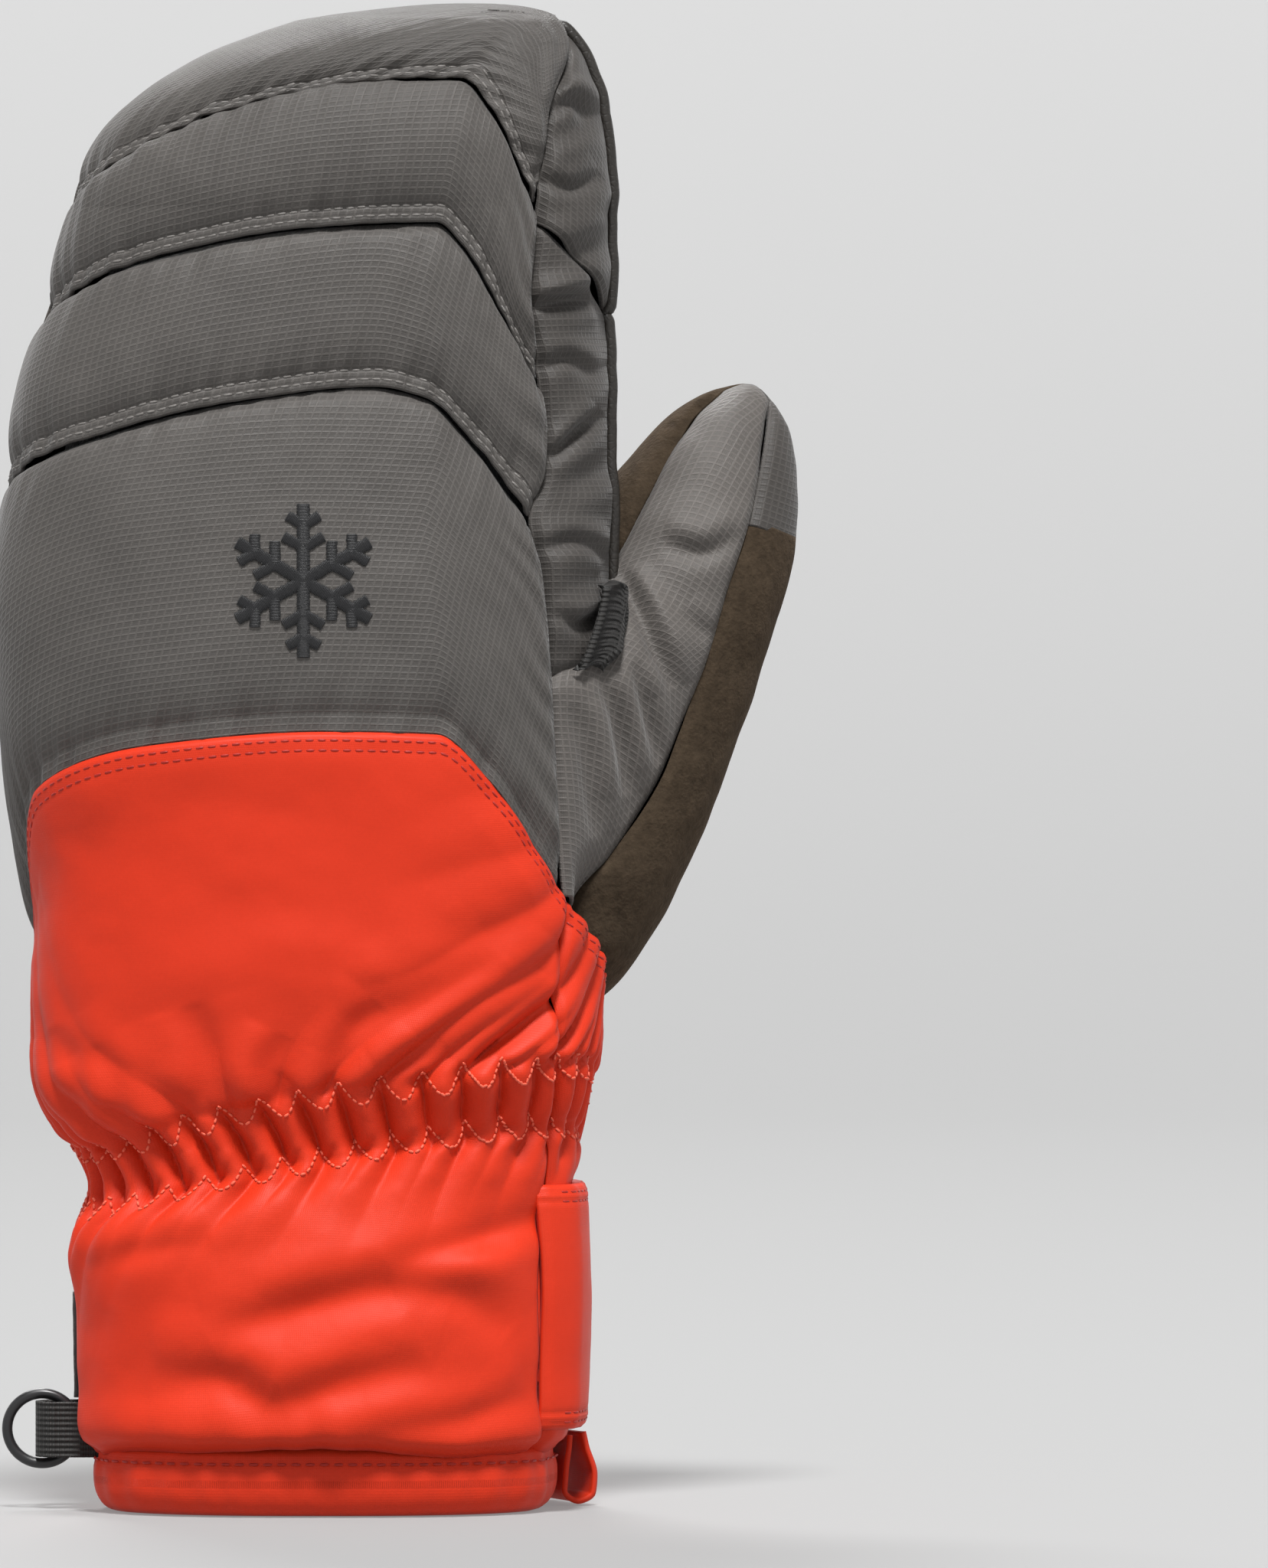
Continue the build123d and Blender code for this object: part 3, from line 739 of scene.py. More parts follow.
def quilt_panels():
    panels = (
        ("back_of_hand_panel", CUFF_SEAM, SEAM_LOW, 250, 150, 11),
        ("lower_finger_panel", SEAM_LOW, SEAM_MID, 260, 84, 21),
        ("upper_finger_panel", SEAM_MID, SEAM_TOP, 260, 84, 31),
        ("fingertip_panel", SEAM_TOP, None, 250, 90, 41),
    )
    paths = []
    for name, low, high, columns, rows, seed in panels:
        upper = seam(high) if high else constant(TOP - UNDER_TOP)
        p = skin_patch(seam(low), upper, little_side, side_angle, columns, rows)
        quilted = low is not CUFF_SEAM
        height = quilt_height(p, seed, 2.9 if quilted else 2.4, quilted)
        p.raise_by(height if high else close_top(p, height))
        cloth(name, p, GREY, "hand", [name])
        PATCHES[name] = p
        if quilted:
            paths += [p.row(d, trim=0.8) for d in NARROW_ROWS]
    sew("quilt_topstitch", paths, THREAD_GREY, "hand", pitch=2.3, length=1.75, radius=0.29)


# Folds: a line of X, Z points, then depth and half width.
SIDE_FOLDS = (
    (((40, 238), (45, 239.5), (52, 241)), 1.3, 1.5),
    (((43, 207), (47.5, 212), (53, 218)), 1.2, 1.3),
    (((42, 226), (47, 228), (52, 225)), 0.8, 1.5),
    (((44, 276), (48, 279), (52, 276)), 1.2, 1.6),
    (((42, 264), (47, 262), (53, 265)), 0.8, 1.4),
    (((42, 190), (48, 192), (54, 189)), 0.9, 1.5),
    (((44, 178), (49, 176), (55, 178)), 0.7, 1.4),
)


def side_panels():
    """The gusset beside the index finger, in two panels, creased where it folds round the edge."""
    def height(p, seed):
        h = dip(p.left, 1.7, 1.5) + dip(p.right, 1.2, 1.2) + 1.3 * rise(p.left, 3)
        tilted = p.base + p.base[..., :1] * np.array([0, 0, -0.5])
        folds = noise(tilted, (30, 30, 11), seed) * 1.9 + noise(tilted, (16, 16, 5), seed + 1) * 1.2
        calm = 1 - 0.8 * bell(p.right, 5)
        for line, depth, width in SIDE_FOLDS:
            h = h + crease(p, line, 1.5 * depth, width) * calm
        return h + folds * calm * rise(p.left, 2.0) + 0.12 * noise(p.base, 4, seed + 2)

    gusset = seam(GUSSET_SEAM)
    upper = skin_patch(gusset, constant(TOP - 3.5), side_angle, thumb_side, 70, 120)
    upper.raise_by(height(upper, 51) + dip(upper.low, 0.8, 0.9))
    lower = skin_patch(constant(153), gusset, side_angle, thumb_side, 70, 220)
    tuck = 3.0 * np.clip((168 - lower.base[..., 2]) / 7, 0, 1)
    lower.raise_by(height(lower, 61) + dip(lower.high, 1.2, 1.0) - tuck)
    # Both gusset panels take the darker copy of the grey ripstop, whose colour is painted shade.
    for name, p in (("side_gusset_upper", upper), ("side_gusset_lower", lower)):
        PATCHES[name] = p
        cloth(name, p, GREY_PAINTED_SHADE, "hand", [name])
    below, above = (p.column(2.0, from_right=True)[0] for p in (lower, upper))
    line = np.concatenate([below[below[:, 2] > 172], above[2:]]) + np.array([0.7, -0.2, 0])
    wear(tube_object("side_piping", line, 1.3, PIPING), "hand", ["side_piping"])


# ---- Palm -------------------------------------------------------------------------------------------
PALM_FOLDS = (
    (((36, 186), (22, 168), (17, 150), (24, 128)), 1.8, 3.4),
    (((28, 178), (12, 160), (8, 142), (15, 124)), 1.1, 3.4),
    (((43, 178), (32, 160), (29, 146), (33, 130)), 1.4, 2.6),
    (((-42, 168), (-18, 176), (4, 174), (24, 186)), 1.0, 4.6),
    (((-46, 206), (-20, 212), (10, 207)), 0.8, 5.0),
)


def palm_panels():
    cuff_edge = seam(PALM_CUFF_SEAM, False)
    edge = seam(PALM_TOP, False)
    p = skin_patch(cuff_edge, edge, constant(0), little_side, 300, 220)
    height = 0.5 * rise(p.high, 5) + dip(p.high, 0.9, 0.8) + dip(p.low, 0.5, 0.8)
    height += 0.8 * noise(p.base, 34, 71) + 0.3 * noise(p.base, (10, 10, 18), 72)
    height += 0.06 * noise(p.base, 4, 73)
    for line, depth, width in PALM_FOLDS:
        height += crease(p, line, depth, width)
    p.raise_by(height)
    wear(closed_patch("palm_leather", p, 1.0, PALM), "hand", ["palm_leather"])
    b = skin_patch(edge, constant(TOP - UNDER_TOP), constant(0), little_side, 260, 70)
    height = 1.2 * rise(b.low, 3) + 0.5 * noise(b.base, 16, 81) + 0.3 * puckers(b, 9, 82) * np.exp(-b.low / 7)
    b.raise_by(close_top(b, height))
    cloth("palm_border", b, GREY, "hand", ["palm_border"])


# The fingertip patch's two long edges: share of the way along, then X and Z.
PATCH_INNER = (
    (0, -26.0, 281.0), (0.08, -30, 272), (0.16, -28, 262), (0.45, 2, 248), (0.62, 22, 243), (0.70, 33, 236),
    (0.76, 36.5, 226), (0.87, 39, 200), (1, 42, 170))
PATCH_OUTER = (
    (0, -21.0, 285.5), (0.15, -6, 288), (0.32, 14, 284.5), (0.5, 32, 273), (0.62, 42, 259),
    (0.74, 47.5, 238), (0.87, 49.5, 205), (1, 47.5, 169))


def fingertip_patch():
    """Leather laid over the fingertips and down the index finger, between two long edges."""
    t, s = np.linspace(0, 1, 260)[None, :], np.linspace(0, 1, 70)[:, None]
    inner, outer = ([curve(t) for curve in curves(edge)] for edge in (PATCH_INNER, PATCH_OUTER))
    x, z = (a * (1 - s) + b * s for a, b in zip(inner, outer))
    p = Patch(on_skin(angle_at(x, z, back=False), z)[:, ::-1])
    edge = p.edge()
    first, second = (edge - d for d in WIDE_ROWS)
    height = 1.15 * rise(edge, 0.5) + dip(first, 0.4, 0.5) + dip(second, 0.4, 0.5)
    height += 0.75 * rise(np.maximum(edge - 4, 0), 4)
    height += 0.35 * noise(p.base, 13, 91) + 0.5 * noise(p.base, 30, 92)
    p.raise_by(height + 0.5)
    wear(closed_patch("fingertip_patch", p, 1.3, PATCH), "hand", ["fingertip_patch"])
    paths = [p.row(d, from_top=top, trim=2) for top in (False, True) for d in WIDE_ROWS]
    paths += [p.column(d, from_right=True, trim=2) for d in WIDE_ROWS]
    sew("patch_stitches", paths, THREAD_BROWN, "hand", pitch=2.4, length=1.7, radius=0.28)


# ---- Red shell: the gauntlet and the cuff, gathered at the wrist -----------------------------------
# The elastic's upper and lower zigzag rows on the back, as height over X.
UPPER_ROW = smooth((
    (-52, 71), (-45.5, 72.5), (-27, 78), (2, 83.5), (19, 85.5), (33, 88.5), (48, 89.5), (55, 89)))
LOWER_ROW = smooth(((-52, 58), (-37, 62), (-24, 66), (8, 72.5), (25, 75.5), (39, 77.3), (52, 77)))
PALM_ROWS = (80.0, 69.5)  # heights of the same rows on the palm
PLEAT = 6.1  # from one pleat, and one tooth of the zigzag, to the next
ZIGZAG = 4.4  # height of the zigzag's teeth
# How far a fold above the elastic leans sideways for each millimetre it rises, over X.
FOLD_LEANS = smooth(((-60, -0.55), (-45, -0.5), (-25, -0.1), (0, 0.35), (22, 0.8), (45, 1.05), (60, 0.8)))


def elastic_rows(p):
    """Heights of the upper and lower zigzag rows at each point of a patch."""
    x, y = p.base[..., 0], p.base[..., 1]
    palm = 1 / (1 + np.exp(-y / 4.0))
    return [row(x) * (1 - palm) + height * palm for row, height in zip((UPPER_ROW, LOWER_ROW), PALM_ROWS)]


def gathers(p, seed):
    """Pleats at the elastic, and the folds that fan out from it above and below."""
    upper, lower = elastic_rows(p)
    z = p.base[..., 2]
    middle, half = (upper + lower) / 2, (upper - lower) / 2
    out = np.maximum(np.abs(z - middle) - half, 0)
    above = z > middle
    wobble = 0.8 * noise(p.base * (1, 1, 0.15), 16, seed)
    inside = np.exp(-(((z - middle) / (half + 1.0)) ** 4))
    wave = np.abs(np.sin(math.pi * (p.around + wobble + 0.3 * (z - middle)) / PLEAT)) ** 0.8
    pleat = (wave - 0.62) * 3.9 * inside
    back = 1 / (1 + np.exp((p.base[..., 1] + 4) / 3))
    lean = np.where(above, FOLD_LEANS(p.base[..., 0]), 0.5) * back
    slide = p.around + wobble - lean * np.sign(z - middle) * np.abs(z - middle)
    fold = np.abs(np.sin(math.pi * slide / PLEAT)) ** 0.9 - 0.6
    drift = slide + 1.5 * noise(p.base, 26, seed + 4)
    double = np.abs(np.sin(math.pi * drift / (2 * PLEAT))) ** 1.3 - 0.45
    pick = 0.85 + 0.35 * noise(np.stack([slide / 26.0, np.where(above, 3.5, -3.5), 0 * z], -1), 1.0, seed + 3)
    fall = np.where(above, 7.5 + 9 * back * np.clip((p.base[..., 0] - 5) / 40, 0, 1), 4.0)
    near = np.where(above, 6.5, 4.0)
    fan = fold * 3.3 * np.exp(-out / near)
    fan = fan + double * 3.6 * pick * np.exp(-out / (2.0 * fall)) * rise(out, 3.5)
    pinch = dip(out, 1.1, 1.7) * (1 - inside) - 0.4 * inside
    roll = 1.5 * bell(middle - half - 9 - z, 6) * np.clip((middle - z) / 3, 0, 1)
    return pleat + fan * (1 - inside) + pinch + roll


def fabric_folds(p, seed, strength):
    soft = 1.7 * noise(p.base, (44, 44, 26), seed) + 0.8 * noise(p.base, (22, 22, 12), seed + 1)
    return strength * (soft + 0.25 * noise(p.base, (9, 9, 6), seed + 2) + 0.06 * noise(p.base, 3.5, seed + 3))


RED_FOLDS = (
    (((44, 59), (34, 56), (24, 53), (12, 50)), 1.3, 2.2),
    (((-22, 35), (-5, 41), (12, 44.5), (24, 44), (36, 36)), 1.7, 2.9),
    (((-34, 27), (-20, 27), (-10, 21), (4, 26), (20, 30)), 1.5, 2.9),
    (((8, 17.5), (24, 18.5), (40, 23)), 0.9, 2.0),
    (((-46, 48), (-34, 52), (-22, 55)), 0.9, 2.0),
    (((-38, 76), (-40, 84), (-45, 93)), 0.8, 2.0),
    (((-24, 79), (-23, 89), (-26, 101)), 1.1, 2.4),
    (((-11, 81), (-11, 88), (-8, 95)), 0.8, 2.0),
    (((-1, 83), (3, 91), (11, 101)), 1.2, 2.4),
    (((12, 85), (26, 93), (38, 101), (47, 111)), 1.9, 2.3),
    (((26, 88), (36, 94), (46, 104)), 1.5, 1.7),
    (((4, 96), (20, 102), (34, 110)), 0.9, 2.4),
    (((-46, 80), (-48, 88), (-53, 96)), 1.0, 2.0),
)


def shell_rows(t):
    """More rows around the elastic than elsewhere."""
    z = np.linspace(0, 1, 400)
    weight = 1 + 1.3 * np.exp(-((z - 0.45) / 0.18) ** 2)
    total = np.concatenate([[0], np.cumsum((weight[1:] + weight[:-1]) / 2)])
    return np.interp(t, total / total[-1], z)


def shell_patch(low, high, left, right, columns, rows):
    p = skin_patch(low, high, left, right, columns, rows, spread=shell_rows)
    turn = np.arctan2(p.base[..., 1] / 30.0, p.base[..., 0] / 50.0)
    p.around = np.unwrap(turn, axis=1) * 41.0
    return p


def hem_overlap(u):
    """The cuff's lower edge, which hangs a little unevenly over the hem."""
    return HEM_TOP - 0.7 + 0.7 * np.sin(3 * u + 0.6) + 0.4 * np.sin(7 * u)


def strap_zone(p):
    """Where the strap and its tape lie on the shell."""
    upright = np.exp(-(((p.base[..., 2] - (STRAP_LOW + STRAP_HIGH) / 2) / 26) ** 8))
    return upright * np.clip((p.base[..., 1] + 12) / 6, 0, 1)


BACK_SHELL_LEFT = constant(math.pi + 0.02)


def red_shell():
    top, palm_top = seam(CUFF_SEAM), seam(PALM_CUFF_SEAM, False)

    def right(z):
        return angle_at(smooth(RED_SIDE)(z), z)

    def around_top(u):
        """The palm's seam, and on the thumb side the back's."""
        return np.where(u < 0, top(u + TAU), palm_top(np.maximum(u, 0)))

    def relief(p, seed, strength, sides):
        first, second = (p.high - d for d in WIDE_ROWS)
        edges = dip(p.high, 0.6, 0.7) + dip(first, 0.22, 0.4) + dip(second, 0.28, 0.45)
        edges += 1.5 * bell(p.low - 5, 4.5) + dip(p.low, 2.6, 1.9)
        edges = edges + 0.5 * puckers(p, 11, 107) * np.exp(-p.low / 6)
        folds = fabric_folds(p, seed + 1, np.clip(p.high / 12, 0, 1) * strength)
        return gathers(p, seed) + folds + edges + sides

    p = shell_patch(hem_overlap, top, BACK_SHELL_LEFT, right, 290, 190)
    height = relief(p, 102, 1.0, dip(p.right, 1.3, 1.3) + 0.8)
    for line, depth, width in RED_FOLDS:
        height += crease(p, line, 1.15 * depth, 1.35 * width)
    p.raise_by(height * (1 - 0.9 * strap_zone(p)))
    nodes = ["gauntlet_back", "cuff_back_panel", "cuff_foam"]
    cloth("gauntlet_back_shell", p, RED, WRIST, nodes)

    q = shell_patch(hem_overlap, around_top, lambda z: right(z) - TAU, BACK_SHELL_LEFT, 390, 150)
    height = relief(q, 112, 0.9, dip(q.left, 1.3, 1.3) + dip(q.right, 0.8, 1.0) + 0.6)
    q.raise_by(height * (1 - 0.9 * strap_zone(q)) - 0.3 * strap_zone(q))
    nodes = ["gauntlet_palm", "cuff_palm_panel", "wrist_gathers", "wrist_elastic"]
    cloth("gauntlet_palm_shell", q, RED, WRIST, nodes)

    paths = [patch.row(d, from_top=True, trim=1) for patch in (p, q) for d in WIDE_ROWS]
    sew("gauntlet_topstitch", paths, THREAD_RED, "hand", **SHELL_STITCH)
    zigzags = [zigzag_path(patch, which) for patch in (p, q) for which in (0, 1)]
    sew("wrist_zigzag", zigzags, THREAD_CORAL, WRIST, pitch=1.45, length=1.1, radius=0.28, sink=-0.02)


def zigzag_path(p, which):
    """A zigzag over the patch: its points, one PLEAT to each tooth."""
    rows = elastic_rows(p)[which]
    z = p.base[..., 2]
    points, norms = [], []
    fine = np.linspace(1, p.base.shape[1] - 2, 1400)

    def at_row(i, g, k):
        """The surface in column k, between row i and the next one."""
        return p.points[i, k] * (1 - g) + p.points[min(i + 1, len(z) - 1), k] * g

    for c in fine:
        k, f = int(c), c - int(c)
        around = p.around[:, k].mean() * (1 - f) + p.around[:, k + 1].mean() * f
        tooth = 1 - 2 * abs(math.sin(math.pi * around / PLEAT))
        target = rows[:, k].mean() + tooth * ZIGZAG / 2
        i = np.interp(target, z[:, k], np.arange(len(z)))
        a, g = int(i), i - int(i)
        points.append(at_row(a, g, k) * (1 - f) + at_row(a, g, k + 1) * f)
        norms.append(p.normal[a, k])
    points, norms = np.array(points), np.array(norms)
    return points + norms * 0.1, norms


# ---- Hem --------------------------------------------------------------------------------------------
def hem():
    """A closed roll round the opening, with a flat underside and small gathers."""
    columns, section = 420, 40
    a = np.linspace(0, 1, columns, endpoint=False)
    u = to_u(a)
    base = on_skin(u, np.full_like(u, 20.0), 2.2)
    base[:, 2] = 0
    ahead = np.roll(base, -1, axis=0) - np.roll(base, 1, axis=0)
    outward = np.cross(ahead, [0, 0, 1.0])
    outward /= np.linalg.norm(outward, axis=1, keepdims=True)
    around = path_length(base)
    t = np.linspace(0, TAU, section, endpoint=False)
    depth, tall = 4.6, HEM_TOP / 2 + 0.6
    c, s = np.cos(t), np.sin(t)
    out = np.sign(c) * np.abs(c) ** 0.9 * depth - depth
    up = np.clip(np.sign(s) * np.abs(s) ** 0.85 * tall + tall, 0, None)
    ripple = 0.22 * np.sin(TAU * around / 7.3 + 3 * noise(base, 14, 121)) + 0.5 * noise(base, 9, 122)
    ripple += 0.9 * noise(base, 24, 123) + 0.5
    outer = np.clip(c, 0, 1)[None, :] * ripple[:, None]
    outer = outer - 0.35 * bell(up - 10.6, 0.7)[None, :] * (c > 0)
    v = base[:, None] + outward[:, None] * (out[None, :] + outer)[..., None]
    v[..., 2] = up[None, :]
    faces = ring_faces(columns, section)
    uv = np.stack(np.broadcast_arrays(around[:, None], (t * 5)[None, :]), -1).reshape(-1, 2)
    obj = mesh_object("hem_band", v.reshape(-1, 3), faces, RED, uv)
    wear(obj, "cuff", ["hem_band"])
    line = base + outward * (ripple * 0.95)[:, None]
    line[:, 2] = 10.4
    path = tuple(np.concatenate([part, part[:1]]) for part in (line, outward))
    sew("hem_stitch", [path], THREAD_RED, "cuff", pitch=2.8, length=1.9, radius=0.26)


# ---- Thumb ------------------------------------------------------------------------------------------
THUMB_ROOT = np.array([44.0, 4.0, 118.0])
THUMB_TO_PALM = 0.125  # how far it leans towards the palm for each millimetre along it
# Half the thumb's width and depth, over the distance s along it from the root.
THUMB_WIDTHS = smooth(((-24, 6), (-12, 14.5), (0, 18.5), (20, 21), (50, 22), (72, 20.5)))
THUMB_DEPTHS = smooth(((-24, 6), (-12, 13.5), (0, 16.5), (20, 17.5), (50, 17.5), (72, 16.5)))
THUMB_DOME, THUMB_END, THUMB_DOME_POWER = 72.0, 114.0, 1.7


def thumb_size(s):
    """Half the width and half the depth of the thumb at s."""
    q = np.clip((s - THUMB_DOME) / (THUMB_END - THUMB_DOME), 0, 1)
    fall = np.maximum(0, 1 - q**THUMB_DOME_POWER) ** (1 / THUMB_DOME_POWER)
    straight = np.minimum(s, THUMB_DOME)
    return THUMB_WIDTHS(straight) * fall, THUMB_DEPTHS(straight) * fall


def thumb_point(angle, s):
    """Angle 0 is the outer edge, a quarter turn back is the back of the thumb."""
    width, depth = thumb_size(s)
    centre = THUMB_ROOT + s[..., None] * ALONG + np.maximum(s, 0)[..., None] * FORWARD * THUMB_TO_PALM
    return centre + (width * np.cos(angle))[..., None] * ACROSS + (depth * np.sin(angle))[..., None] * FORWARD


def thumb_angle(across, s, back):
    """The angle of a seam that lies that far across the thumb's width."""
    width = np.maximum(thumb_size(s)[0], 0.2)
    a = np.arccos(np.clip(across / width, -0.97, 0.97))
    return -a if back else a


# Seams as how far they lie across the thumb's width, over s.
OUTER_BACK = smooth(((-20, 0), (6, 3.3), (16, 7.2), (36, 11.2), (53, 11.4), (74, 10), (89, 9), (114, 4)))
INNER_BACK = smooth(((-20, -14), (50, -14.5), (67, -13.5), (103, -9.6), (114, -4)))
OUTER_PALM = smooth(((-20, 4), (20, 4), (60, 5), (74, 8), (86, 15), (114, 6)))
INNER_PALM = smooth(((-20, -12), (67, -13), (103, -9), (114, -4)))
SUEDE_TOP = 88.0

THUMB_FOLDS = (
    (((58, 186), (62.5, 176), (68, 163)), 1.7, 1.9),
    (((53, 168), (57, 156), (59, 142)), 1.5, 2.0),
    (((60, 168), (63, 156), (66, 148)), 1.2, 1.8),
    (((48, 160), (51, 148), (52, 134)), 1.0, 2.0),
    (((66, 192), (74, 190), (82, 194)), 0.9, 1.9),
    (((70, 178), (76, 174), (82, 178)), 0.7, 1.9),
)


def thumb_cover(name, first, last, low, high, material, nodes, seed, puff, grid=(110, 200), join=False):
    """A cover between two seams, from s = low to high; join runs it on to the back of the hand."""
    a, s = unit_grid(*grid)
    s = s**0.9 * (high - low) + low
    start, end = first(s), last(s)
    points = thumb_point(start + (end - start) * a, s)
    p = Patch(joined_to_hand(a, s, points) if join else points)
    edge = np.minimum(p.left, p.right)
    height = puff * rise(edge, 4) + dip(edge, 0.9, 1.0) + 0.9 * noise(p.base, 22, seed)
    height += 0.45 * noise(p.base, (14, 14, 7), seed + 1) + 0.08 * noise(p.base, 4, seed + 2)
    for line, depth, width in THUMB_FOLDS if join else ():
        height += crease(p, line, 1.35 * depth, width) * rise(edge, 2)
    p.raise_by(height * np.clip((THUMB_END - s) / 6, 0, 1))
    PATCHES[name] = p
    wear(closed_patch(name, p, CLOTH, material), THUMB, nodes)


def joined_to_hand(a, s, points):
    """Below the crotch the thumb's back runs on to the seam beside the back of the hand."""
    z = np.clip(THUMB_ROOT[2] + 4 + s[:, 0] * 0.80, 116.5, 172)
    u = side_angle(z)
    start = on_skin(u, z)
    step = on_skin(u + 0.12, z) - start
    step /= np.linalg.norm(step, axis=1, keepdims=True)
    end = points[:, -1]
    back = points[:, -1] - points[:, -12]
    back /= np.linalg.norm(back, axis=1, keepdims=True)
    span = np.linalg.norm(end - start, axis=1)[:, None]
    t = a[0][None, :, None]
    curve = (2 * t**3 - 3 * t**2 + 1) * start[:, None] + (t**3 - 2 * t**2 + t) * (step * span)[:, None]
    curve = curve + (-2 * t**3 + 3 * t**2) * end[:, None] + (t**3 - t**2) * (back * span * 0.8)[:, None]
    w = np.clip((s - 50) / 20, 0, 1)
    w = (w * w * (3 - 2 * w))[..., None]
    return curve * (1 - w) + points * w


def thumb():
    def seam_angle(curve, back):
        return lambda s: thumb_angle(curve(s), s, back)

    back_outer, back_inner = seam_angle(OUTER_BACK, True), seam_angle(INNER_BACK, True)
    palm_outer, palm_inner = seam_angle(OUTER_PALM, False), seam_angle(INNER_PALM, False)
    end = THUMB_END - 0.03
    nodes = ["thumb_back_base", "thumb_back_tip", "thumb_insulation_base"]
    # The thumb's back and palm take the lighter copy of the grey ripstop, whose colour is painted light.
    thumb_cover("thumb_back", back_inner, back_outer, 0, end, GREY_PAINTED_LIGHT, nodes,
                131, 1.3, (130, 230), join=True)
    nodes = ["thumb_palm_base", "thumb_palm_tip", "thumb_insulation_tip"]
    thumb_cover("thumb_palm", palm_outer, palm_inner, -10, end, GREY_PAINTED_LIGHT, nodes, 141, 1.1)
    nodes = ["thumb_outer_edge_base", "thumb_outer_edge_tip"]
    thumb_cover("thumb_outer_edge", back_outer, palm_outer, -12, SUEDE_TOP, SUEDE, nodes, 151, 0.8)
    # The thumb's tip side takes the darker copy of the grey ripstop, whose colour is painted shade.
    thumb_cover("thumb_tip_side", back_outer, palm_outer, SUEDE_TOP - 1, end, GREY_PAINTED_SHADE, (),
                161, 0.7, (80, 70))
    nodes = ["thumb_inner_edge_base", "thumb_inner_edge_tip", "thumb_lining_base", "thumb_lining_tip"]
    thumb_cover("thumb_inner_edge", palm_inner, lambda s: TAU + back_inner(s), 0, end, SUEDE, nodes,
                171, 0.7, (80, 200))
    sew("thumb_stitches", [PATCHES["thumb_palm"].column(d, trim=6) for d in WIDE_ROWS], THREAD_GREY, THUMB)


# ---- Small parts ------------------------------------------------------------------------------------
def front_depth(x, z, names):
    """How far back the frontmost surface lies at each x and z."""
    cloud = np.concatenate([PATCHES[n].points.reshape(-1, 3) for n in names])
    out = np.empty(np.shape(x))
    for index in np.ndindex(out.shape):
        near = (cloud[:, 0] - x[index]) ** 2 + (cloud[:, 2] - z[index]) ** 2
        out[index] = cloud[near < 1.6, 1].min() if (near < 1.6).any() else cloud[near.argmin(), 1]
    return out


def crotch_tab():
    """A webbed tab over the point where the thumb, gusset and palm meet."""
    s, t = unit_grid(24, 40)
    left = smooth(((0, 49.5), (0.3, 51.5), (0.8, 54), (1, 54.5)))(t)
    right = smooth(((0, 54.5), (0.25, 58.6), (0.8, 59.4), (1, 58.5)))(t)
    x = left * (1 - s) + right * s
    z = 166.5 + 17 * t + 1.2 * np.sin(math.pi * s)
    y = front_depth(x, z, ["thumb_back", "side_gusset_lower"])
    # The tab lies on a smooth surface fitted to that.
    terms = np.stack([np.ones_like(x), x, z, x * z, x * x, z * z], -1).reshape(-1, 6)
    y = (terms @ np.linalg.lstsq(terms, y.ravel(), rcond=None)[0]).reshape(x.shape) - 0.7
    p = Patch(np.stack([x, y, z], -1))
    edge = p.edge()
    teeth = np.abs(np.sin(math.pi * (p.base[..., 2] + 0.25 * p.base[..., 0]) / 1.9))
    teeth = teeth * np.clip((edge - 1.4) / 0.4, 0, 1)
    rim = 0.9 * bell(edge - 0.75, 0.6)
    p.raise_by(0.7 * rise(edge, 0.3) + rim + 0.45 * teeth)
    wear(closed_patch("crotch_tab", p, 1.2, BLACK_WEB), "hand")


def snowflake():
    """Satin stitch: short threads laid side by side across every bar of a six-armed star."""
    centre = (lows("snowflake") + highs("snowflake")) / 2
    reach_ = (highs("snowflake")[2] - lows("snowflake")[2]) / 2
    bars = []
    for k in range(6):
        a = math.radians(60 * k + 30)
        arm = np.array([math.cos(a), math.sin(a)])
        bars.append((np.zeros(2), arm * reach_, 2.7))
        for out, length in ((0.43, 0.30), (0.73, 0.24)):
            for side in (-60, 60):
                b = a + math.radians(side)
                start = arm * reach_ * out
                bars.append((start, start + np.array([math.cos(b), math.sin(b)]) * reach_ * length, 2.3))
    centres, along = [], []
    for start, end, width in bars:
        length = np.linalg.norm(end - start)
        line = (end - start) / length
        across = np.array([-line[1], line[0]])
        for d in np.arange(0.15, length, 0.3):
            point = start + line * d + across * RANDOM.uniform(-0.1, 0.1)
            centres.append((centre[0] + point[0], centre[2] + point[1]))
            along.append(across * width)
    centres, along = np.array(centres), np.array(along)
    panel = PATCHES["back_of_hand_panel"]
    flat = panel.points.reshape(-1, 3)
    norms = panel.normal.reshape(-1, 3)
    near = [((flat[:, 0] - x) ** 2 + (flat[:, 2] - z) ** 2).argmin() for x, z in centres]
    norm = norms[near]
    points = np.stack([centres[:, 0], flat[near, 1], centres[:, 1]], -1) + norm * 0.18
    direction = np.stack([along[:, 0], 0 * along[:, 0], along[:, 1]], -1)
    direction -= norm * (direction * norm).sum(-1, keepdims=True)
    v, faces = beads(points, direction, norm, np.linalg.norm(along, axis=1), 0.24, flatten=1.0)
    wear(mesh_object("snowflake", v, faces, THREAD_BLACK), "hand", ["snowflake"])


def around_cuff(angle, z, lift):
    """A point outside the cuff, seen from its axis at that angle in degrees, raised by lift."""
    a = np.radians(angle)
    little, thumb, back, palm = (r + lift for r in reach(z))
    middle, half = (thumb - little) / 2, (thumb + little) / 2
    low, high = np.zeros(np.shape(a)), np.full(np.shape(a), 120.0)
    for _ in range(40):
        r = (low + high) / 2
        x, y = r * np.cos(a) - middle, r * np.sin(a)
        inside = np.abs(x / half) ** BOXY + np.abs(y / np.where(y > 0, palm, back)) ** BOXY < 1
        low, high = np.where(inside, r, low), np.where(inside, high, r)
    return np.stack([low * np.cos(a), low * np.sin(a), z + 0 * low], -1)


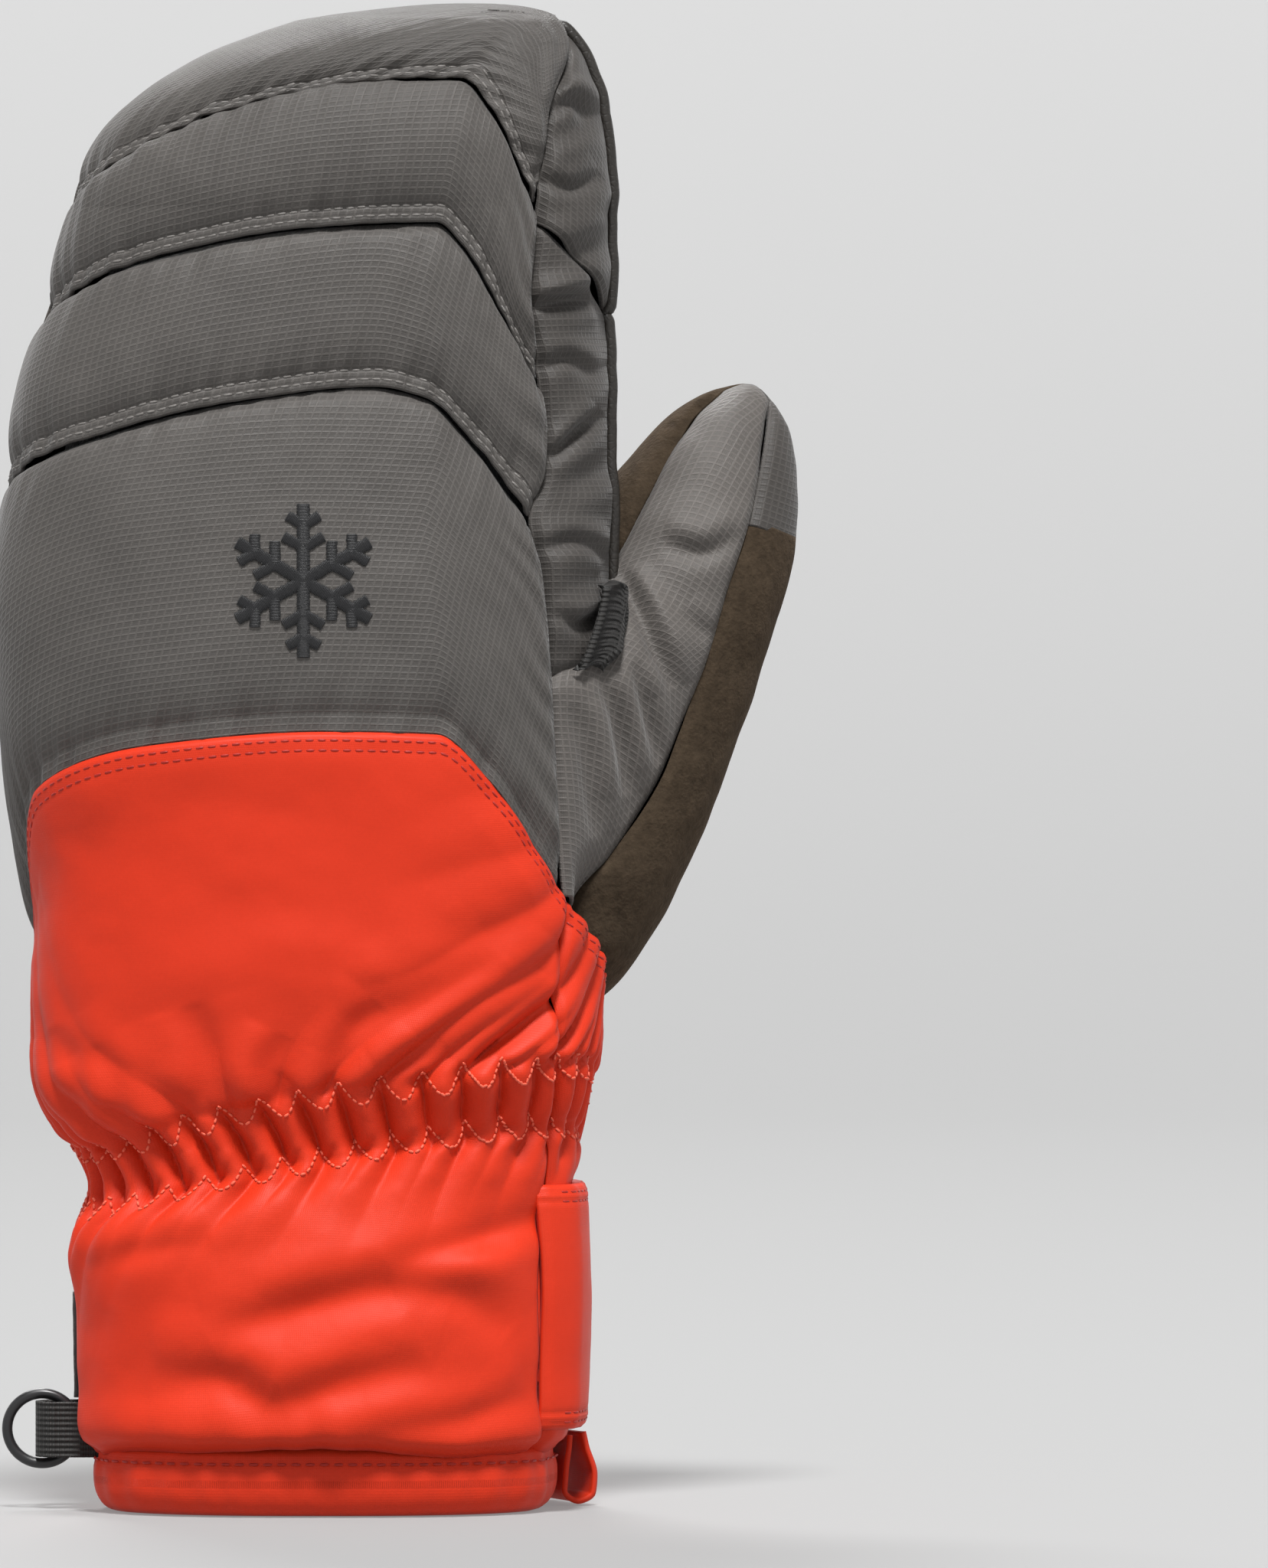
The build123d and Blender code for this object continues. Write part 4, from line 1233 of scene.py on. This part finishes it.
STRAP_START, STRAP_FREE = -25.0, 148.0  # the angles of its sewn and its free end
STRAP_MIDDLE_Z = 42.0  # the strap hangs straight, as wide as the cuff is here
STRAP_CORNER = 8.0  # radius of the free end's corners


def strap():
    columns = 300
    s, t = unit_grid(columns, 90)
    angle = STRAP_START + (STRAP_FREE - STRAP_START) * s
    middle = around_cuff(angle[0], np.full(columns, STRAP_MIDDLE_Z), 3.5)
    length = path_length(middle)
    to_end = np.maximum(STRAP_CORNER - (length[-1] - length), 0)
    cut = STRAP_CORNER - np.sqrt(np.maximum(STRAP_CORNER**2 - to_end**2, 0))
    z = (STRAP_LOW + cut) * (1 - t) + (STRAP_HIGH - cut) * t
    sewn = np.clip(length / 9, 0, 1)[None, :] + 0 * t
    lift = 0.4 + 2.6 * sewn * sewn * (3 - 2 * sewn)
    straight = np.full_like(z, STRAP_MIDDLE_Z)
    shape = np.where(z < STRAP_MIDDLE_Z, straight * 0.5 + z * 0.5, straight * 0.35 + z * 0.65)
    points = around_cuff(angle, shape, lift)
    points[..., 2] = z
    p = Patch(points)
    edge = np.minimum.reduce([p.right, p.low, p.high])
    first, second = (edge - d for d in NARROW_ROWS)
    height = 1.3 * rise(edge, 0.9) + dip(first, 0.25, 0.4) + dip(second, 0.28, 0.4)
    height += 0.3 * rise(np.maximum(edge - 4, 0), 4) + dip(p.left, 1.0, 1.4)
    height += 0.45 * noise(p.base, 26, 181) + 0.2 * noise(p.base, (10, 10, 7), 182)
    height += 0.18 * puckers(p, 6.5, 183) * np.exp(-edge / 3)
    p.raise_by(height)
    obj = closed_patch("wrist_strap", p, 1.7, RED)
    wear(obj, STRAP, ["wrist_strap", "strap_root"])
    paths = [p.row(d, from_top=top, trim=5) for top in (False, True) for d in NARROW_ROWS]
    paths += [p.column(d, from_right=True, trim=2) for d in NARROW_ROWS]
    sew("strap_stitches", paths, THREAD_RED, STRAP, **SHELL_STITCH)


def tape(name, angles, lift, thick, material, body, seed):
    """A strip of tape round the cuff, as high as its CAD piece."""
    s, t = unit_grid(120, 40)
    low, high = lows(name)[2], highs(name)[2]
    angle = angles[0] + (angles[1] - angles[0]) * s
    z = low + (high - low) * t
    points = around_cuff(angle, np.where(z < STRAP_MIDDLE_Z, (z + STRAP_MIDDLE_Z) / 2, z), lift)
    points[..., 2] = z
    p = Patch(points)
    p.raise_by(0.12 * noise(p.base, 2.2, seed))
    wear(closed_patch(name, p, thick, material), body, [name])


def fasteners():
    tape("hook_patch", (95, 145), 2.6, 0.8, HOOK_TAPE, "strap", 191)
    tape("loop_patch", (72, 181), 1.3, 1.1, LOOP_TAPE, "cuff", 192)


def ring_and_webbing():
    """The ring, and the webbing that folds round its inner side."""
    around, section = 72, 20
    turns = (np.linspace(0, TAU, count, endpoint=False) for count in (around, section))
    a, b = np.meshgrid(*turns, indexing="ij")
    low, high = lows("clip_ring"), highs("clip_ring")
    wire = (high - low)[1] / 2
    out = (high - low)[2] / 2 - wire + wire * np.cos(b)
    v = np.stack([out * np.cos(a), wire * np.sin(b), out * np.sin(a)], -1) + RING_CENTRE
    faces = ring_faces(around, section, ahead_first=False)
    wear(mesh_object("clip_ring", v.reshape(-1, 3), faces, HARD_BLACK), "ring", ["clip_ring"])

    low, high = lows("ring_webbing"), highs("ring_webbing")
    half, root, fold = high[1] - 0.5, high[0] + 3.0, low[0] + 0.45
    side, along = curves((
        (0, -half, root), (0.28, -half + 0.2, fold + 4.2), (0.42, -half * 0.62, fold + 0.9), (0.5, 0, fold),
        (0.58, half * 0.62, fold + 0.9), (0.72, half - 0.2, fold + 4.2), (1, half, root)))
    s, t = unit_grid(90, 26)
    points = np.stack([along(s), side(s), low[2] + (high[2] - low[2]) * t], -1)
    p = Patch(points[:, ::-1])
    p.raise_by(0.3 * np.abs(np.sin(math.pi * p.x / 1.1)) - 0.1)
    wear(closed_patch("ring_webbing", p, 0.85, BLACK_WEB), "cuff", ["ring_webbing"])


# The pull loop's section: share of the way along, then how far out and how high.
PULL_SECTION = (
    (0, -1.7, 14.0), (0.12, -1.9, 12.0), (0.3, -2.7, 7.2), (0.42, -2.9, 3.0), (0.5, -0.2, 1.3),
    (0.58, 2.6, 2.4), (0.7, 3.0, 6.0), (0.88, 1.2, 11.5), (1, 0.4, 14.5))
PULL_TURN, PULL_WIDTH = math.radians(26), 21


def pull_loop():
    centre = (lows("pull_loop") + highs("pull_loop")) / 2
    out = np.array([math.cos(PULL_TURN), math.sin(PULL_TURN), 0])
    side = np.array([-math.sin(PULL_TURN), math.cos(PULL_TURN), 0])
    outwards, rises = curves(PULL_SECTION)
    s, t = unit_grid(90, 50)
    points = centre + out * outwards(s)[..., None] + side * ((t - 0.5) * PULL_WIDTH)[..., None]
    points[..., 2] = rises(s)
    p = Patch(points)
    edge = np.minimum(p.low, p.high)
    p.raise_by(0.35 * rise(edge, 0.8) + 0.25 * noise(p.base, 7, 201))
    wear(closed_patch("pull_loop", p, 1.1, RED), "cuff", ["pull_loop"])


def lining():
    """The fleece inside, seen through the opening."""
    columns, rows = 150, 170
    mouth, end = 1.5, TOP - 12
    a = np.linspace(0, 1, columns, endpoint=False)[None, :]
    t = np.linspace(0, 1, rows)[:, None]
    z = mouth + (end - mouth) * t + 0 * a
    inset = np.clip(6.8 + 2.7 * (z - 60) / 30, 6.8, 9.5)
    points = on_skin(to_u(a + 0 * t), np.clip(z, 20, None), inset)
    points[..., 2] = z
    shrink = (np.clip((end - z) / 40, 0, 1) ** 0.45)[..., None]
    middle = np.array([PEAK_X, 0]) * (1 - shrink)
    closing = points[..., :2] * shrink + middle * (1 - shrink) * 0.5
    points[..., :2] = np.where(z[..., None] > TOP - 52, closing, points[..., :2])
    direction = normals(np.concatenate([points, points[:, :1]], 1))[:, :-1]
    inner = points - direction * (1.2 + 0.15 * noise(points, 9, 211)[..., None])
    count, last = rows * columns, (rows - 1) * columns
    faces = [tuple(f) for f in grid_faces(rows, columns, wrap=True)]
    faces += [tuple(f[::-1]) for f in grid_faces(rows, columns, count, wrap=True)]
    faces += [((k + 1) % columns, k, k + count, (k + 1) % columns + count) for k in range(columns)]
    faces.append(tuple(range(last, last + columns)))
    faces.append(tuple(range(last + count, last + count + columns))[::-1])
    uv = np.stack([np.tile(np.arange(columns) * 2.0, rows), np.repeat(np.arange(rows) * 1.7, columns)], -1)
    vertices = np.concatenate([points.reshape(-1, 3), inner.reshape(-1, 3)])
    obj = mesh_object("hand_lining", vertices, faces, FLEECE, np.concatenate([uv, uv]))
    wear(obj, WRIST, ["hand_lining", "cuff_lining", "hand_membrane", "hand_insulation"])


# ---- Stage ------------------------------------------------------------------------------------------
def stage():
    """A pale floor that curves up into a wall, far behind everything."""
    sides, flat_radius, bend, tall = 96, 2.6, 4.4, 6.0  # metres, but for the count of sides
    profile = [(r, 0.0) for r in (0.0, 0.5, 1.5, flat_radius)]
    for a in np.linspace(0.05, math.pi / 2, 24):
        profile.append((flat_radius + bend * math.sin(a), bend * (1 - math.cos(a))))
    profile.append((flat_radius + bend, tall))
    turns = [TAU * k / sides for k in range(sides)]
    vertices = [(r * math.cos(a) / MM, r * math.sin(a) / MM, h / MM - 0.2) for r, h in profile for a in turns]
    s = Shader("pale floor", (0.21, 0.21, 0.21), 0.9, Specular_IOR_Level=0.0)
    height = s.node("ShaderNodeSeparateXYZ", {"Vector": s.place()}).outputs["Z"]
    glow = s.node(
        "ShaderNodeMapRange", {"Value": height}, From_Min=0.0, From_Max=2.5, To_Min=0.22, To_Max=0.60)
    s.surface.inputs["Emission Color"].default_value = (1, 1, 1, 1)
    s.tree.links.new(glow.outputs[0], s.surface.inputs["Emission Strength"])
    mesh_object("floor", vertices, grid_faces(len(profile), sides, wrap=True), s.material)


def sun(name, towards, strength, softness):
    """A far, soft light from that direction; softness is its width in degrees."""
    data = bpy.data.lights.new(name, "SUN")
    data.energy, data.angle = strength, math.radians(softness)
    obj = bpy.data.objects.new(name, data)
    obj.rotation_euler = Vector(towards).to_track_quat("Z", "Y").to_euler()
    bpy.context.scene.collection.objects.link(obj)


def studio():
    stage()
    sun("key", (0.04, -0.46, 0.88), 4.8, 12)
    sun("front fill", (-0.05, -0.97, 0.18), 1.15, 24)
    sun("palm side key", (-0.15, 0.62, 0.72), 2.6, 20)
    world = bpy.data.worlds.new("pale room")
    world.use_nodes = True
    background = world.node_tree.nodes["Background"]
    background.inputs["Color"].default_value = (1, 1, 1, 1)
    background.inputs["Strength"].default_value = 0.10
    bpy.context.scene.world = world
    bpy.context.scene.view_settings.view_transform = "Standard"


PHOTO_SIZE = 1656, 2048
FRAME_HEIGHT, FRAME_LEFT, FRAME_MIDDLE_Z = 0.3125, -0.0656, 0.1442  # what the photo shows, in metres
CAMERA_DISTANCE, SENSOR = 2.2, 36.0


def camera():
    """Looks squarely at the back of the hand from far away."""
    frame_width = FRAME_HEIGHT * PHOTO_SIZE[0] / PHOTO_SIZE[1]
    data = bpy.data.cameras.new("camera")
    data.sensor_fit = "VERTICAL"
    data.sensor_height = SENSOR
    data.lens = SENSOR * CAMERA_DISTANCE / FRAME_HEIGHT
    data.clip_end = 30
    obj = bpy.data.objects.new("camera", data)
    obj.location = (FRAME_LEFT + frame_width / 2, -CAMERA_DISTANCE, FRAME_MIDDLE_Z)
    obj.rotation_euler = (math.pi / 2, 0, 0)
    bpy.context.scene.collection.objects.link(obj)
    bpy.context.scene.camera = obj


PIECES = (
    quilt_panels, side_panels, palm_panels, fingertip_patch, red_shell, hem, thumb, crotch_tab, snowflake,
    strap, fasteners, ring_and_webbing, pull_loop, lining)
for make in (*PIECES, studio, camera):
    make()
